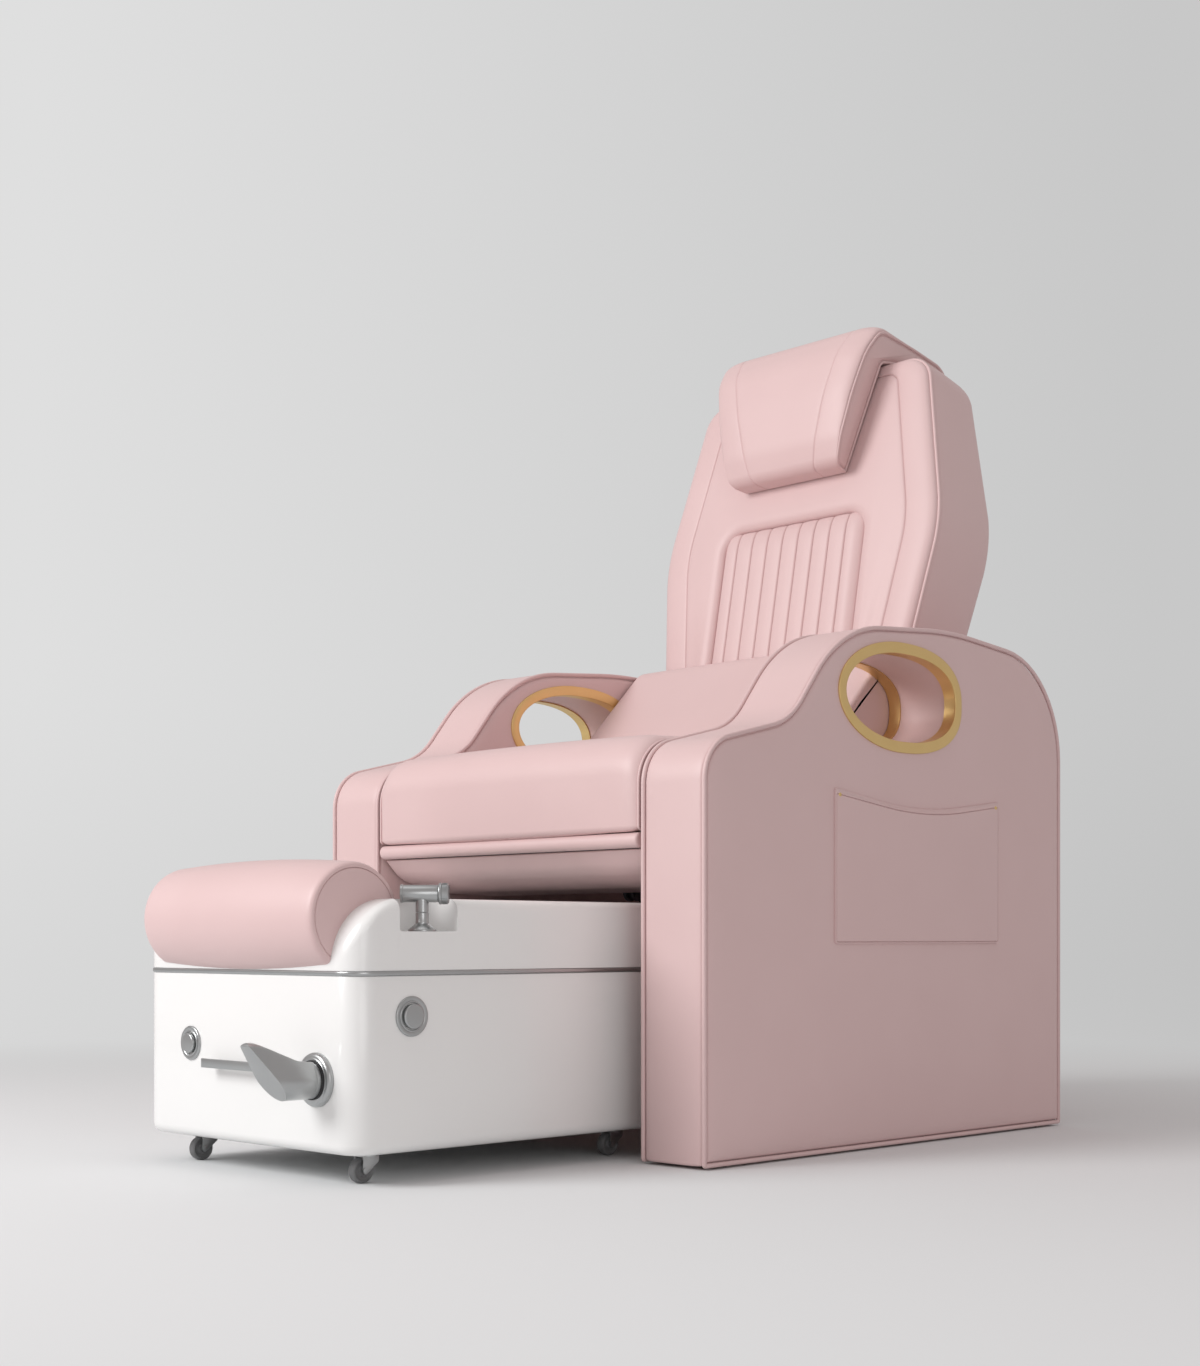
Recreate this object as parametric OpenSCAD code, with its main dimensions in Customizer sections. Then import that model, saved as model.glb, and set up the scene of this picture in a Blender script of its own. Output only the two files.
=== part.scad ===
// Pedicure spa chair: an upholstered armchair with a reclining back
// and a foot tub that rolls out on casters.
// +X is the sitter's left, the sitter faces -Y, +Z is up.
// The origin is on the floor, in the middle of the chair and tub together.
// Right and left in the pieces' names are as seen from the front, so right is the +X side.
// Inside the modules y = 0 is the front of the arms; in_place() moves every piece to the origin above.

/* [Arms] */
// Width across the two arms
chair_w = 880; // [840:1:940]
// Depth of an arm, front to back
arm_depth = 953; // [920:1:1000]
// Height of the arm at its highest point
arm_h = 846; // [830:1:870]
// Height of the corner above the arm's front edge
knee_h = 618; // [600:1:635]
// Thickness of one arm
arm_t = 130; // [120:1:140]
// Foam and leather over the edges of the arm's plywood core
arm_foam = 26; // [18:1:32]
// Foam and leather over the faces of the core
arm_face_foam = 15; // [12:1:20]
// Thickness of the core's plywood
ply_t = 12; // [9:1:15]
// Height of the floor glides
glide_h = 3; // [2:0.5:6]
// Radius of a floor glide
glide_r = 14; // [10:1:20]

/* [Arm openings] */
// Length of the oval ring round an arm opening
ring_l = 330; // [300:1:350]
// Height of the oval ring
ring_h = 177; // [160:1:190]
// Width of the ring's flat face
ring_band = 18; // [14:1:22]
// Distance of the ring's centre from the front of the arm
ring_y = 473; // [460:1:490]
// Height of the ring's centre
ring_z = 720; // [705:1:730]
// How far the ring stands proud of the leather
ring_proud = 3; // [2:0.5:5]
// Depth of the ring's sleeve inside the tunnel
sleeve_depth = 20; // [12:1:30]

/* [Side pocket] */
// Width of the pocket
pocket_w = 450; // [380:1:470]
// Height of the pocket at its upper corners
pocket_h = 238; // [200:1:245]
// Height of the pocket's lower edge above the floor
pocket_z = 325; // [300:1:335]
// Sag of the pocket's open edge
pocket_sag = 20; // [10:1:30]
// Distance of the pocket's centre from the front of the arm
pocket_y = 523; // [500:1:550]
// Thickness of the pocket's leather
pocket_t = 2.2; // [1.5:0.1:2.6]
// Depth of the space behind the pocket
pocket_space = 9; // [7:0.5:11]

/* [Seat] */
// Height of the seat's crest
seat_h = 647; // [635:1:655]
// Height of the seat cushion's underside
seat_low = 492; // [485:1:500]
// Thickness of the seat board
board_t = 15; // [12:1:18]
// Height of the seat frame's tubes
tube_h = 30; // [25:1:35]
// Width of the seat frame's tubes
tube_w = 40; // [30:1:50]
// Wall of the seat frame's tubes
tube_wall = 2.5; // [2:0.5:4]
// Diameter of the roll under the seat's front edge
roll_d = 23; // [18:1:26]
// Height of the lumbar cushion's top
lumbar_h = 851; // [835:1:856]
// Side gap between the cushions and the arms
side_gap = 5; // [4:0.5:8]

/* [Backrest] */
// Lean of the backrest from upright, in degrees
back_lean = 10.76; // [9:0.1:12]
// Distance of the backrest's front face from the front of the arms, at its foot
back_y = 633; // [628:1:640]
// Height of the foot of that face
back_z = 520; // [515:1:525]
// Gap between the backrest and each arm
waist_gap = 20; // [19:1:26]
// How much wider the backrest is across its shoulders
shoulder_flare = 74; // [60:1:84]
// How much narrower the backrest is at its top
top_taper = 60; // [44:1:80]
// Distance of the shoulders above the foot, along the back
shoulder_s = 564; // [555:1:575]
// Length of the backrest above its foot
back_s = 881; // [870:1:890]
// Thickness of the backrest
back_t = 171; // [160:1:180]
// Thickness of the backrest at its top
back_top_t = 119; // [108:1:130]
// Thickness of the front cushion
cushion_t = 42; // [38:1:46]
// Width of the ribbed panel
rib_panel_w = 320; // [306:1:336]
// Number of ribs
rib_count = 9; // [5:1:11]
// Height of the ribbed panel's top above the foot
rib_panel_top = 597; // [583:1:608]

/* [Headrest] */
// Width of the pillow at its lower edge
pillow_low_w = 250; // [230:1:270]
// Width of the pillow at its top
pillow_top_w = 366; // [340:1:380]
// Height of the pillow's lower edge above the foot of the back
pillow_low_s = 668; // [655:1:680]
// Thickness of the pillow in front of the back
pillow_t = 56; // [48:1:62]
// Thickness of the pillow over the top of the back
pillow_top_t = 40; // [34:1:46]
// Radius of a headrest post
post_r = 6; // [5:0.5:7]
// Distance between the posts
post_gap = 140; // [120:1:160]

/* [Recline mechanism] */
// Radius of a recline hinge pin
hinge_r = 6; // [5:0.5:8]
// Distance of the hinge behind the backrest's front face
hinge_t = 45; // [42:1:48]
// Distance of the hinge below the foot of the back
hinge_s = 30; // [27:1:33]
// Thickness of the hinge plates
plate_t = 4; // [3:0.5:4.5]
// Length of the lever arm that the actuator pushes
drive_arm = 70; // [66:1:74]
// Radius of the actuator's barrel
barrel_r = 18; // [15:1:19]
// Radius of the actuator's rod
rod_r = 9; // [7:0.5:10]

/* [Tub] */
// Width of the tub
tub_w = 516; // [500:1:530]
// Length of the tub
tub_l = 600; // [580:1:612]
// How far the tub stands in front of the arms
tub_out = 488; // [470:1:500]
// Height of the tub's rim
tub_h = 388; // [384:1:392]
// Height of the tub's floor plate
tub_low = 43; // [41:1:46]
// Radius of the tub's upright corners
tub_r = 40; // [30:1:50]
// Wall of the tub's casings
wall = 5; // [4:0.5:6]
// Radius of the rounded front of the rim
brow_r = 88; // [84:1:92]
// Lower edge of the trim band
band_z = 283; // [276:1:288]
// Height of the trim band
band_h = 7; // [5:0.5:9]
// Width of the rim beside the basin
rim_w = 80; // [77:1:88]
// Distance of the basin behind the tub's front
basin_front = 126; // [120:1:135]
// Length of the basin inside
basin_l = 424; // [400:1:440]
// Height of the basin's bottom
basin_z = 150; // [135:1:170]
// Diameter of the footrest pad
pad_d = 152; // [146:1:158]
// Distance of the pad's ends inside the tub's sides
pad_inset = 51; // [48:1:58]
// Outer radius of the drain tail
drain_r = 16; // [14:0.5:20]

/* [Tub fittings] */
// Distance of the mixer from the tub's side
mixer_inset = 81; // [78:1:92]
// Height of the mixer's axis
mixer_z = 143; // [135:1:155]
// Radius of the mixer lever's body
lever_r = 25.5; // [22:0.5:28]
// Reach of the lever's tip in front of the tub
lever_reach = 116; // [105:1:125]
// Length of the pull handle
handle_l = 140; // [120:1:150]
// Height of the pull handle's bar
handle_h = 13; // [10:1:16]
// Distance of the side button behind the tub's front
side_button_y = 97; // [90:1:110]
// Height of the side button
side_button_z = 228; // [215:1:240]
// Radius of the side button
side_button_r = 17.5; // [15:0.5:20]
// Distance of the front button from the tub's side
front_button_inset = 130; // [110:1:142]
// Height of the front button
front_button_z = 181; // [180:1:195]
// Radius of the front button
front_button_r = 15; // [14:0.5:18]
// Travel of both buttons
button_travel = 4; // [3:0.5:5]
// Distance of the faucet from the tub's side
faucet_inset = 23; // [22:0.5:26]
// Length of the recess that the faucet stands in
recess_l = 102; // [98:1:108]
// Depth of that recess below the rim
recess_drop = 45; // [40:1:48]
// Radius of the faucet's column
column_r = 9.2; // [8:0.2:10]
// Radius of the faucet's barrel
spout_r = 12; // [11:0.5:13]

/* [Casters] */
// Diameter of a caster wheel
wheel_d = 35; // [32:1:36]
// Width of a caster wheel
wheel_w = 14; // [12:1:16]
// Distance of the casters inside the tub's sides
caster_side = 63; // [55:1:72]
// Distance between the casters, front to back
caster_base = 477; // [460:1:485]
// Distance of the front casters' swivels behind the tub's front
caster_inset = 72; // [65:1:80]
// Trail of the wheel from its swivel
trail = 12; // [10:1:14]

/* [Hidden] */
$fn = 48;

leather = "#e2c5c8";
leather_shade = "#c9a3a5";
gold = "#bfa25e";
white_shell = "#f4f4f2";
silver = "#b4b8b8";
dark_rubber = "#5f6060";
plywood = "#c8a878";
steel = "#8a8f94";

// Clearances: a running fit on a radius, a gap between pieces of one body, a gap between bodies
run_gap = 0.05;
seam_gap = 0.3;
body_gap = 1.5;
// How far the back cushion and the loose cushions swell out of their outlines
back_crown = 11;
pad_crown = 3;

half_w = chair_w / 2;
inner_x = half_w - arm_t;
waist_w = 2 * (inner_x - waist_gap);
shoulder_w = waist_w + shoulder_flare;
top_w = waist_w - top_taper;
mid_y = (arm_depth - tub_out - lever_reach) / 2;

// The back turns about its hinge; the actuator pushes on the lever arm below it
hinge_y = back_y + hinge_t * cos(back_lean) - hinge_s * sin(back_lean);
hinge_z = back_z - hinge_t * sin(back_lean) - hinge_s * cos(back_lean);
drive_z = hinge_z - drive_arm;

module in_place() { translate([0, -mid_y, 0]) children(); }
module on_back() { in_place() translate([0, back_y, back_z]) rotate([-back_lean, 0, 0]) children(); }
module both_sides() { children(); mirror([1, 0, 0]) children(); }

// Outlines: a vertex is [across, up, fillet radius]. The fillet is limited by the sides it joins.
function unit(v) = v / norm(v);
function flat(v) = [v[0], v[1]];
function fillet_points(before, at, after) =
    let (u = unit(flat(before) - flat(at)), v = unit(flat(after) - flat(at)),
        half = acos(max(-0.9999, min(0.9999, u * v))) / 2,
        room = 0.49 * min(norm(flat(before) - flat(at)), norm(flat(after) - flat(at))),
        r = min(at[2], room * tan(half)),
        centre = flat(at) + unit(u + v) * r / sin(half),
        start = flat(at) + u * r / tan(half) - centre,
        finish = flat(at) + v * r / tan(half) - centre,
        a0 = atan2(start[1], start[0]), sweep = atan2(finish[1], finish[0]) - a0,
        turn = sweep > 180 ? sweep - 360 : sweep < -180 ? sweep + 360 : sweep,
        n = max(1, ceil(abs(turn) / 9)))
    r < 0.01 ? [flat(at)] : [for (i = [0:n]) centre + r * [cos(a0 + turn * i / n), sin(a0 + turn * i / n)]];
function rounded(v) = let (n = len(v))
    [for (i = [0:n - 1]) each fillet_points(v[(i + n - 1) % n], v[i], v[(i + 1) % n])];

// Moves the sides of a counter-clockwise outline inwards by d, fillets included
function edge_normal(a, b) = let (u = unit(flat(b) - flat(a))) [-u[1], u[0]];
function inset(v, d) = let (n = len(v))
    [for (i = [0:n - 1])
        let (n1 = edge_normal(v[(i + n - 1) % n], v[i]), n2 = edge_normal(v[i], v[(i + 1) % n]),
            p = flat(v[i]) + d * (n1 + n2) / (1 + n1 * n2), convex = cross(n1, n2) > 0)
        [p[0], p[1], max(0, v[i][2] + (convex ? -d : d))]];

// Extrudes an outline in the YZ plane from x0 to x1
module side_plate(points, x0, x1)
    translate([x0, 0, 0]) rotate([90, 0, 90]) linear_extrude(x1 - x0) polygon(points);
// Extrudes an outline in the XZ plane from y0 to y1
module front_plate(points, y0, y1)
    translate([0, y1, 0]) rotate([90, 0, 0]) linear_extrude(y1 - y0) polygon(points);
module rod_x(r, x0, x1) translate([x0, 0, 0]) rotate([0, 90, 0]) cylinder(r = r, h = x1 - x0);
module rod_y(r, y0, y1) translate([0, y1, 0]) rotate([90, 0, 0]) cylinder(r = r, h = y1 - y0);
module rounded_rect(w, l, r) {
    square([w - 2 * r, l], center = true);
    square([w, l - 2 * r], center = true);
    for (x = [-1, 1], y = [-1, 1]) translate([x * (w / 2 - r), y * (l / 2 - r)]) circle(r);
}
// A block with upright corners of radius r and a rolled bottom edge of radius e
module tub_block(w, l, h, r, e) {
    translate([0, 0, e]) linear_extrude(h - e) rounded_rect(w, l, r);
    linear_extrude(e) rounded_rect(w - 2 * e, l - 2 * e, r - e);
    for (y = [-1, 1]) translate([0, y * (l / 2 - e), e]) rod_x(e, -(w / 2 - r), w / 2 - r);
    for (x = [-1, 1]) translate([x * (w / 2 - e), 0, e]) rod_y(e, -(l / 2 - r), l / 2 - r);
    for (x = [-1, 1], y = [-1, 1]) translate([x * (w / 2 - r), y * (l / 2 - r), e])
        rotate_extrude() intersection() {
            translate([r - e, 0]) circle(e);
            translate([0, -e]) square([r, e]);
        }
}

// Soft forms: closed rings of points, skinned with triangles.
// Point i of a ring faces point n - 1 - i across it.
module skin(rings) {
    n = len(rings[0]);
    m = len(rings);
    far = (m - 1) * n;
    polyhedron(points = [for (r = rings) each r], faces = concat(
        [for (i = [0:n / 2 - 2]) each [[i, i + 1, n - 1 - i], [i + 1, n - 2 - i, n - 1 - i]]],
        [for (i = [0:n / 2 - 2]) each
            [[far + i, far + n - 1 - i, far + i + 1], [far + i + 1, far + n - 1 - i, far + n - 2 - i]]],
        [for (j = [0:m - 2], i = [0:n - 1]) let (a = j * n + i, b = j * n + (i + 1) % n)
            each [[a, a + n, b], [b, a + n, b + n]]]));
}
// A point a given share of the way along a path, and the path re-cut into equal steps
function run(path) = [for (i = 0, s = 0; i < len(path);
    s = s + (i + 1 < len(path) ? norm(path[i + 1] - path[i]) : 0), i = i + 1) s];
function even(path, n) = let (s = run(path), total = s[len(s) - 1],
    xs = [for (i = [0:len(path) - 1]) [s[i], path[i][0]]],
    ys = [for (i = [0:len(path) - 1]) [s[i], path[i][1]]])
    [for (k = [0:n - 1]) let (at = total * k / (n - 1)) [lookup(at, xs), lookup(at, ys)]];
// The outward normal of a clockwise closed outline at point i
function out_normal(p, i) = let (n = len(p), d = unit(p[(i + 1) % n] - p[(i + n - 1) % n])) [-d[1], d[0]];
// A pad along X from a clockwise outline of [y, z]: its ends roll in by edge_r, and its middle
// swells by crown. The widths are a lookup table of half widths by height.
function pad_stations(edge_r) = concat(
    [for (a = [0, 35, 65, 90]) [1, edge_r * (1 - cos(a)), edge_r * (1 - sin(a))]],
    [for (g = [0.66, 0.33, 0]) [g, edge_r, 0]]);
function pad_ring(p, widths, side, st, crown) =
    [for (i = [0:len(p) - 1])
        let (w = lookup(p[i][1], widths), nrm = out_normal(p, i),
            swell = st[0] < 1 ? crown * (1 - st[0] * st[0]) : 0,
            q = p[i] + nrm * (swell - st[2]))
        [side * (w - st[1]) * st[0], q[0], q[1]]];
module pad(p, widths, edge_r, crown) {
    st = pad_stations(edge_r);
    last = len(st) - 1;
    skin(concat(
        [for (k = [0:last]) pad_ring(p, widths, 1, st[k], crown)],
        [for (k = [last - 1:-1:0]) pad_ring(p, widths, -1, st[k], crown)]));
}

// ---- Arms ----
arm_outline = [[0, glide_h, 6], [arm_depth, glide_h, 6], [arm_depth, arm_h - 27, 190], [610, arm_h, 900],
    [320, arm_h - 24, 240], [194, knee_h + 47, 120], [0, knee_h, 72]];
// The piping stands proud of the band of leather between the arm's two edges
piping_w = 7;
piping_proud = 2.5;
function to_floor(v) = [for (i = [0:len(v) - 1]) i < 2 ? [v[i][0], glide_h, 0] : v[i]];
band_outline = to_floor(inset(arm_outline, piping_proud));
core_outline = to_floor(inset(arm_outline, arm_foam));
core_x0 = inner_x + arm_face_foam;
core_x1 = half_w - arm_face_foam;
bolt_r = 5;
frame_top = seat_low - board_t - 0.5;
rail_z = frame_top - tube_h / 2;
rail_x = inner_x - 14;
bolt_ys = [130, 470];

// The oval of the arm openings: rounder at the front, squarer at the back
function oval(a, b) = [for (k = [0:6:354])
    let (c = cos(k), s = sin(k), square_off = c > 0 ? 2 / 2.45 : 1)
    [ring_y + a * sign(c) * pow(abs(c), square_off), ring_z + b * sign(s) * pow(abs(s), square_off)]];
module oval_plate(grow, x0, x1) side_plate(oval(ring_l / 2 + grow, ring_h / 2 + grow), x0, x1);
sleeve_t = 2.2;
tunnel_grow = sleeve_t + seam_gap - ring_band;

module arm_core() side_plate(rounded(core_outline), core_x0, core_x1);
module bolt_holes(r, x0, x1)
    for (y = bolt_ys) translate([0, y, rail_z]) rod_x(r, x0, x1);

module arm_frame() difference() {
    arm_core();
    // The plywood box is hollow, with one large window through its inner sheet
    side_plate(rounded(inset(core_outline, ply_t)), core_x0 + ply_t, core_x1 - ply_t);
    translate([core_x0 - 1, 200, 90]) cube([ply_t + 2, arm_depth - 400, rail_z - 160]);
    oval_plate(tunnel_grow + arm_face_foam, core_x0 - 1, core_x1 + 1);
    bolt_holes(bolt_r + 0.2, core_x0 - 1, core_x0 + ply_t + 1);
}
module arm_cover(pocket) difference() {
    union() {
        side_plate(rounded(band_outline), inner_x, half_w);
        for (x = [inner_x, half_w - piping_w]) side_plate(rounded(arm_outline), x, x + piping_w);
    }
    // Room for the core, which stands on the glides; foam lines the tunnel
    difference() {
        union() {
            arm_core();
            translate([core_x0, arm_foam, 0])
                cube([core_x1 - core_x0, arm_depth - 2 * arm_foam, 2 * glide_h]);
        }
        oval_plate(tunnel_grow + arm_face_foam, inner_x, half_w);
    }
    oval_plate(tunnel_grow, inner_x - 1, half_w + 1);
    bolt_holes(bolt_r + 0.2, inner_x - 1, core_x0 + 1);
    if (pocket) translate([half_w - pocket_space, pocket_y - pocket_w / 2 + 12, pocket_z + 10])
        cube([pocket_space + 1, pocket_w - 24, pocket_h - 12]);
}
module arm_ring() {
    difference() {
        union() {
            oval_plate(0, half_w, half_w + ring_proud);
            oval_plate(sleeve_t - ring_band, half_w - sleeve_depth, half_w + 1);
        }
        oval_plate(-ring_band, half_w - sleeve_depth - 1, half_w + ring_proud + 1);
    }
}
module arm_rings() {
    arm_ring();
    // The inner ring is the same casting turned round, so its flange lies on the arm's inner face
    translate([inner_x + half_w, 0, 0]) mirror([1, 0, 0]) arm_ring();
}

module arm_frame_right() color(plywood) in_place() arm_frame();
module arm_frame_left() color(plywood) in_place() mirror([1, 0, 0]) arm_frame();
module arm_cover_right() color(leather) in_place() arm_cover(true);
module arm_cover_left() color(leather) in_place() mirror([1, 0, 0]) arm_cover(false);
module arm_rings_right() color(gold) in_place() arm_rings();
module arm_rings_left() color(gold) in_place() mirror([1, 0, 0]) arm_rings();

// The pocket's open edge sags between its corners
function pocket_edge(n) = [for (k = [0:n]) let (u = 2 * k / n - 1)
    [pocket_y - u * pocket_w / 2, pocket_z + pocket_h - pocket_sag * (1 - u * u)]];
module side_pocket() color(leather) in_place()
    side_plate(concat([[pocket_y - pocket_w / 2, pocket_z], [pocket_y + pocket_w / 2, pocket_z]],
        pocket_edge(14)), half_w + seam_gap, half_w + seam_gap + pocket_t);
rivet_inset = 10;
module pocket_rivets() color(gold) in_place()
    for (side = [-1, 1])
        translate([half_w + seam_gap + pocket_t, pocket_y + side * (pocket_w / 2 - rivet_inset),
            pocket_z + pocket_h - rivet_inset - 2])
            rod_x(4, 0, ring_proud - seam_gap - pocket_t);
module floor_glides() color(dark_rubber) in_place() both_sides()
    for (x = [inner_x + 30, half_w - 30], y = [60, arm_depth - 60])
        translate([x, y, 0]) cylinder(r = glide_r, h = glide_h);

// ---- Seat ----
board_y0 = 32;
seat_back = back_y - 31;
cushion_x = inner_x - side_gap;
front_rail_y = 70;
rear_rail_y = seat_back - 40;
middle_rail_y = 295;
tab_t = 5;
eye_w = 12;
actuator_pin_r = 5;
tab_gap = 0.8;

module box_tube_y(x, y0, y1)
    difference() {
        translate([x, y0, frame_top - tube_h]) cube([tube_w, y1 - y0, tube_h]);
        translate([x + tube_wall, y0 - 1, frame_top - tube_h + tube_wall])
            cube([tube_w - 2 * tube_wall, y1 - y0 + 2, tube_h - 2 * tube_wall]);
    }
module seat_frame() color(steel) in_place() {
    rail_len = 2 * (rail_x - tube_w);
    both_sides() difference() {
        box_tube_y(rail_x - tube_w, board_y0 + 20, seat_back - 6);
        bolt_holes(bolt_r + 0.2, rail_x - tube_w - 1, rail_x + 1);
    }
    for (y = [front_rail_y, middle_rail_y, rear_rail_y])
        translate([-rail_len / 2, y, frame_top - tube_h]) cube([rail_len, tube_h, tube_h]);
    // Tabs under the middle rail hold the front eye of the actuator
    both_sides() translate([eye_w / 2 + tab_gap, 0, 0]) difference() {
        union() {
            translate([0, middle_rail_y, drive_z]) cube([tab_t, tube_h, frame_top - tube_h - drive_z + 1]);
            translate([0, middle_rail_y + tube_h / 2, drive_z]) rod_x(tube_h / 2, 0, tab_t);
        }
    }
    translate([0, middle_rail_y + tube_h / 2, drive_z])
        rod_x(actuator_pin_r, -(eye_w / 2 + tab_gap + tab_t), eye_w / 2 + tab_gap + tab_t);
}
module seat_board() color(plywood) in_place()
    translate([-rail_x, board_y0, frame_top + 0.1])
        cube([2 * rail_x, seat_back - 4 - board_y0, board_t - 0.1]);
// Shoulder bolts hold the side rails off the arms and screw into the plywood cores
module frame_bolts() color(silver) in_place() both_sides() for (y = bolt_ys) translate([0, y, rail_z]) {
    rod_x(9, rail_x - tube_w - 6, rail_x - tube_w);
    rod_x(bolt_r, rail_x - tube_w - 1, core_x0 + ply_t + 6);
    rod_x(12, rail_x + 0.1, inner_x - 0.1);
}

function arc_path(c, r, a0, a1, n) =
    [for (k = [0:n]) let (a = a0 + (a1 - a0) * k / n) c + r * [cos(a), sin(a)]];
seat_front_r = 62;
seat_end_r = 18;
seat_crest_y = 150;
seat_top_path = concat([[-5, seat_low + 8], [-7, seat_low + 50]],
    arc_path([seat_front_r - 7, seat_h - 12 - seat_front_r], seat_front_r, 175, 100, 8),
    [[seat_crest_y, seat_h], [300, seat_h - 2], [seat_back - 12, seat_h - 4]]);
module seat_cushion() color(leather) in_place()
    pad(concat(even(seat_top_path, 18), even([[seat_back, seat_h - 14], [seat_back, seat_low + pad_crown + 2],
            [300, seat_low + pad_crown], [6, seat_low + pad_crown]], 18)), [[0, cushion_x]],
        seat_end_r, pad_crown);
module seat_front_roll() color(leather) in_place()
    translate([0, 9.5, seat_low - 0.5 - roll_d / 2]) rod_x(roll_d / 2, -cushion_x + 2, cushion_x - 2);

// The apron is a board bent under the seat's front, like a keel
apron_t = 14;
apron_z = seat_low - roll_d - 1;
apron_outer = [[12, apron_z, 0], [44, apron_z - 34, 70], [130, apron_z - 54, 90], [250, apron_z - 58, 0]];
apron_inner = [[250, apron_z - 58 + apron_t, 0], [128, apron_z - 54 + apron_t, 76], [54, apron_z - 25, 56],
    [12 + apron_t * 1.5, apron_z, 0]];
module seat_apron() color(leather_shade) in_place() intersection() {
    side_plate(rounded(concat(apron_outer, apron_inner)), -cushion_x + 2, cushion_x - 2);
    // It is cut away to clear the frame's front tube
    difference() {
        translate([-half_w, 0, 0]) cube([chair_w, 300, apron_z]);
        translate([-half_w, board_y0 + 19, frame_top - tube_h - 0.5]) cube([chair_w, 300, tube_h]);
    }
}

lumbar_foot_y = 452;
lumbar_back_gap = (back_crown + pad_crown + body_gap) / cos(back_lean) + 0.5;
lumbar_foot_z = seat_h + 2 * pad_crown;
function back_face_y(z, ahead) = back_y + (z - back_z) * tan(back_lean) - ahead;
lumbar_front_path = rounded([[lumbar_foot_y, lumbar_foot_z, 0], [lumbar_foot_y, lumbar_foot_z + 10, 5],
    [back_y + 7, lumbar_h - 1, 150], [back_face_y(lumbar_h, lumbar_back_gap), lumbar_h, 0],
    [back_y, back_z, 0]]);
lumbar_front = [for (p = lumbar_front_path) if (p[1] > seat_h) p];
module lumbar_cushion() color(leather) in_place()
    pad(concat(even(lumbar_front, 18),
        even([[back_face_y(lumbar_h - 12, lumbar_back_gap), lumbar_h - 12],
            [back_face_y(lumbar_foot_z, lumbar_back_gap), lumbar_foot_z],
            [lumbar_foot_y + 10, lumbar_foot_z]], 18)),
        [[0, cushion_x]], 6, pad_crown);

rear_panel_t = 18;
rear_panel_h = 525;
module rear_panel() color(leather) in_place()
    side_plate(rounded([[arm_depth - 48, 25, 6], [arm_depth - 48 + rear_panel_t, 25, 6],
        [arm_depth - 48 + rear_panel_t, rear_panel_h, 8], [arm_depth - 48, rear_panel_h, 8]]),
        -inner_x + 0.4, inner_x - 0.4);

// ---- Recline hinges and actuator ----
hinge_plate_x = waist_w / 2;
bracket_x = rail_x;
module hinge_brackets() color(steel) in_place() both_sides() difference() {
    union() {
        side_plate([[seat_back - 110, frame_top - tube_h], [seat_back - 6, frame_top - tube_h],
            [hinge_y, hinge_z - 20], [hinge_y, hinge_z + 20], [seat_back - 60, frame_top],
            [seat_back - 110, frame_top]], bracket_x, bracket_x + plate_t);
        translate([0, hinge_y, hinge_z]) rod_x(20, bracket_x, bracket_x + plate_t);
    }
    translate([0, hinge_y, hinge_z]) rod_x(hinge_r + 0.02, bracket_x - 1, bracket_x + plate_t + 1);
}
module hinge_pins() color(silver) in_place() both_sides() translate([0, hinge_y, hinge_z]) {
    rod_x(hinge_r, hinge_plate_x + 0.6, bracket_x + plate_t + 1);
    rod_x(hinge_r + 3, bracket_x + plate_t + 0.1, bracket_x + plate_t + 4);
}
barrel_y = middle_rail_y + tube_h / 2;
barrel_front = barrel_y + 22;
barrel_back = hinge_y - 110;
module eye(r, hole) difference() {
    rod_x(r, -eye_w / 2, eye_w / 2);
    rod_x(hole, -eye_w, eye_w);
}
module actuator_barrel() color(dark_rubber) in_place() translate([0, 0, drive_z]) {
    translate([0, barrel_y, 0]) eye(11, actuator_pin_r + run_gap);
    difference() {
        union() {
            rod_y(barrel_r, barrel_front, barrel_back);
            translate([-eye_w / 2, barrel_y + 9, -8]) cube([eye_w, barrel_front - barrel_y, 16]);
        }
        rod_y(rod_r + run_gap, barrel_front + 14, barrel_back + 1);
    }
}
open_pivot_gap = 3.4;
module actuator_rod() color(silver) in_place() translate([0, 0, drive_z]) difference() {
    union() {
        rod_y(rod_r, barrel_front + 60, hinge_y - actuator_pin_r - 8);
        translate([0, hinge_y, 0]) rod_x(15, -eye_w / 2, eye_w / 2);
    }
    translate([0, hinge_y, 0]) rod_x(actuator_pin_r + open_pivot_gap, -eye_w, eye_w);
}

// ---- Backrest, in the frame of the leaning front face ----
// Its points are x, the depth t behind the face and the height s above the foot.
back_foot = -60;
shell_wall = 18;
top_roll_r = 55;
back_outline = [[-waist_w / 2, back_foot, 12], [waist_w / 2, back_foot, 12], [waist_w / 2, 325, 60],
    [shoulder_w / 2, shoulder_s, 300], [top_w / 2, back_s, 55], [-top_w / 2, back_s, 55],
    [-shoulder_w / 2, shoulder_s, 300], [-waist_w / 2, 325, 60]];
back_profile = rounded([[cushion_t, back_foot, 0], [back_t, back_foot, 25], [back_t, shoulder_s + 46, 260],
    [back_top_t, back_s, top_roll_r], [cushion_t, back_s, 0]]);
back_widths = [for (p = rounded(back_outline)) if (p[0] > 0) [p[1], p[0]]];
back_depths = [for (p = back_profile) if (p[0] > cushion_t + 0.1) [p[1], p[0]]];
function back_ring(s) =
    let (w = lookup(s, back_widths), d = lookup(s, back_depths), r = min(34, (d - cushion_t) / 2),
        corner = [for (a = [0:22.5:90]) [w - r + r * cos(a), d - r + r * sin(a), s]])
    concat([[w, cushion_t + seam_gap, s]], corner,
        [for (k = [len(corner) - 1:-1:0]) [-corner[k][0], corner[k][1], s]], [[-w, cushion_t + seam_gap, s]]);
shell_stations = concat([back_foot, back_foot + 8, 150, 320, 380, 470, 520, 560, 600, 640, 720, 790],
    [for (a = [20:14:90]) back_s - top_roll_r * (1 - sin(a))]);

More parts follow.
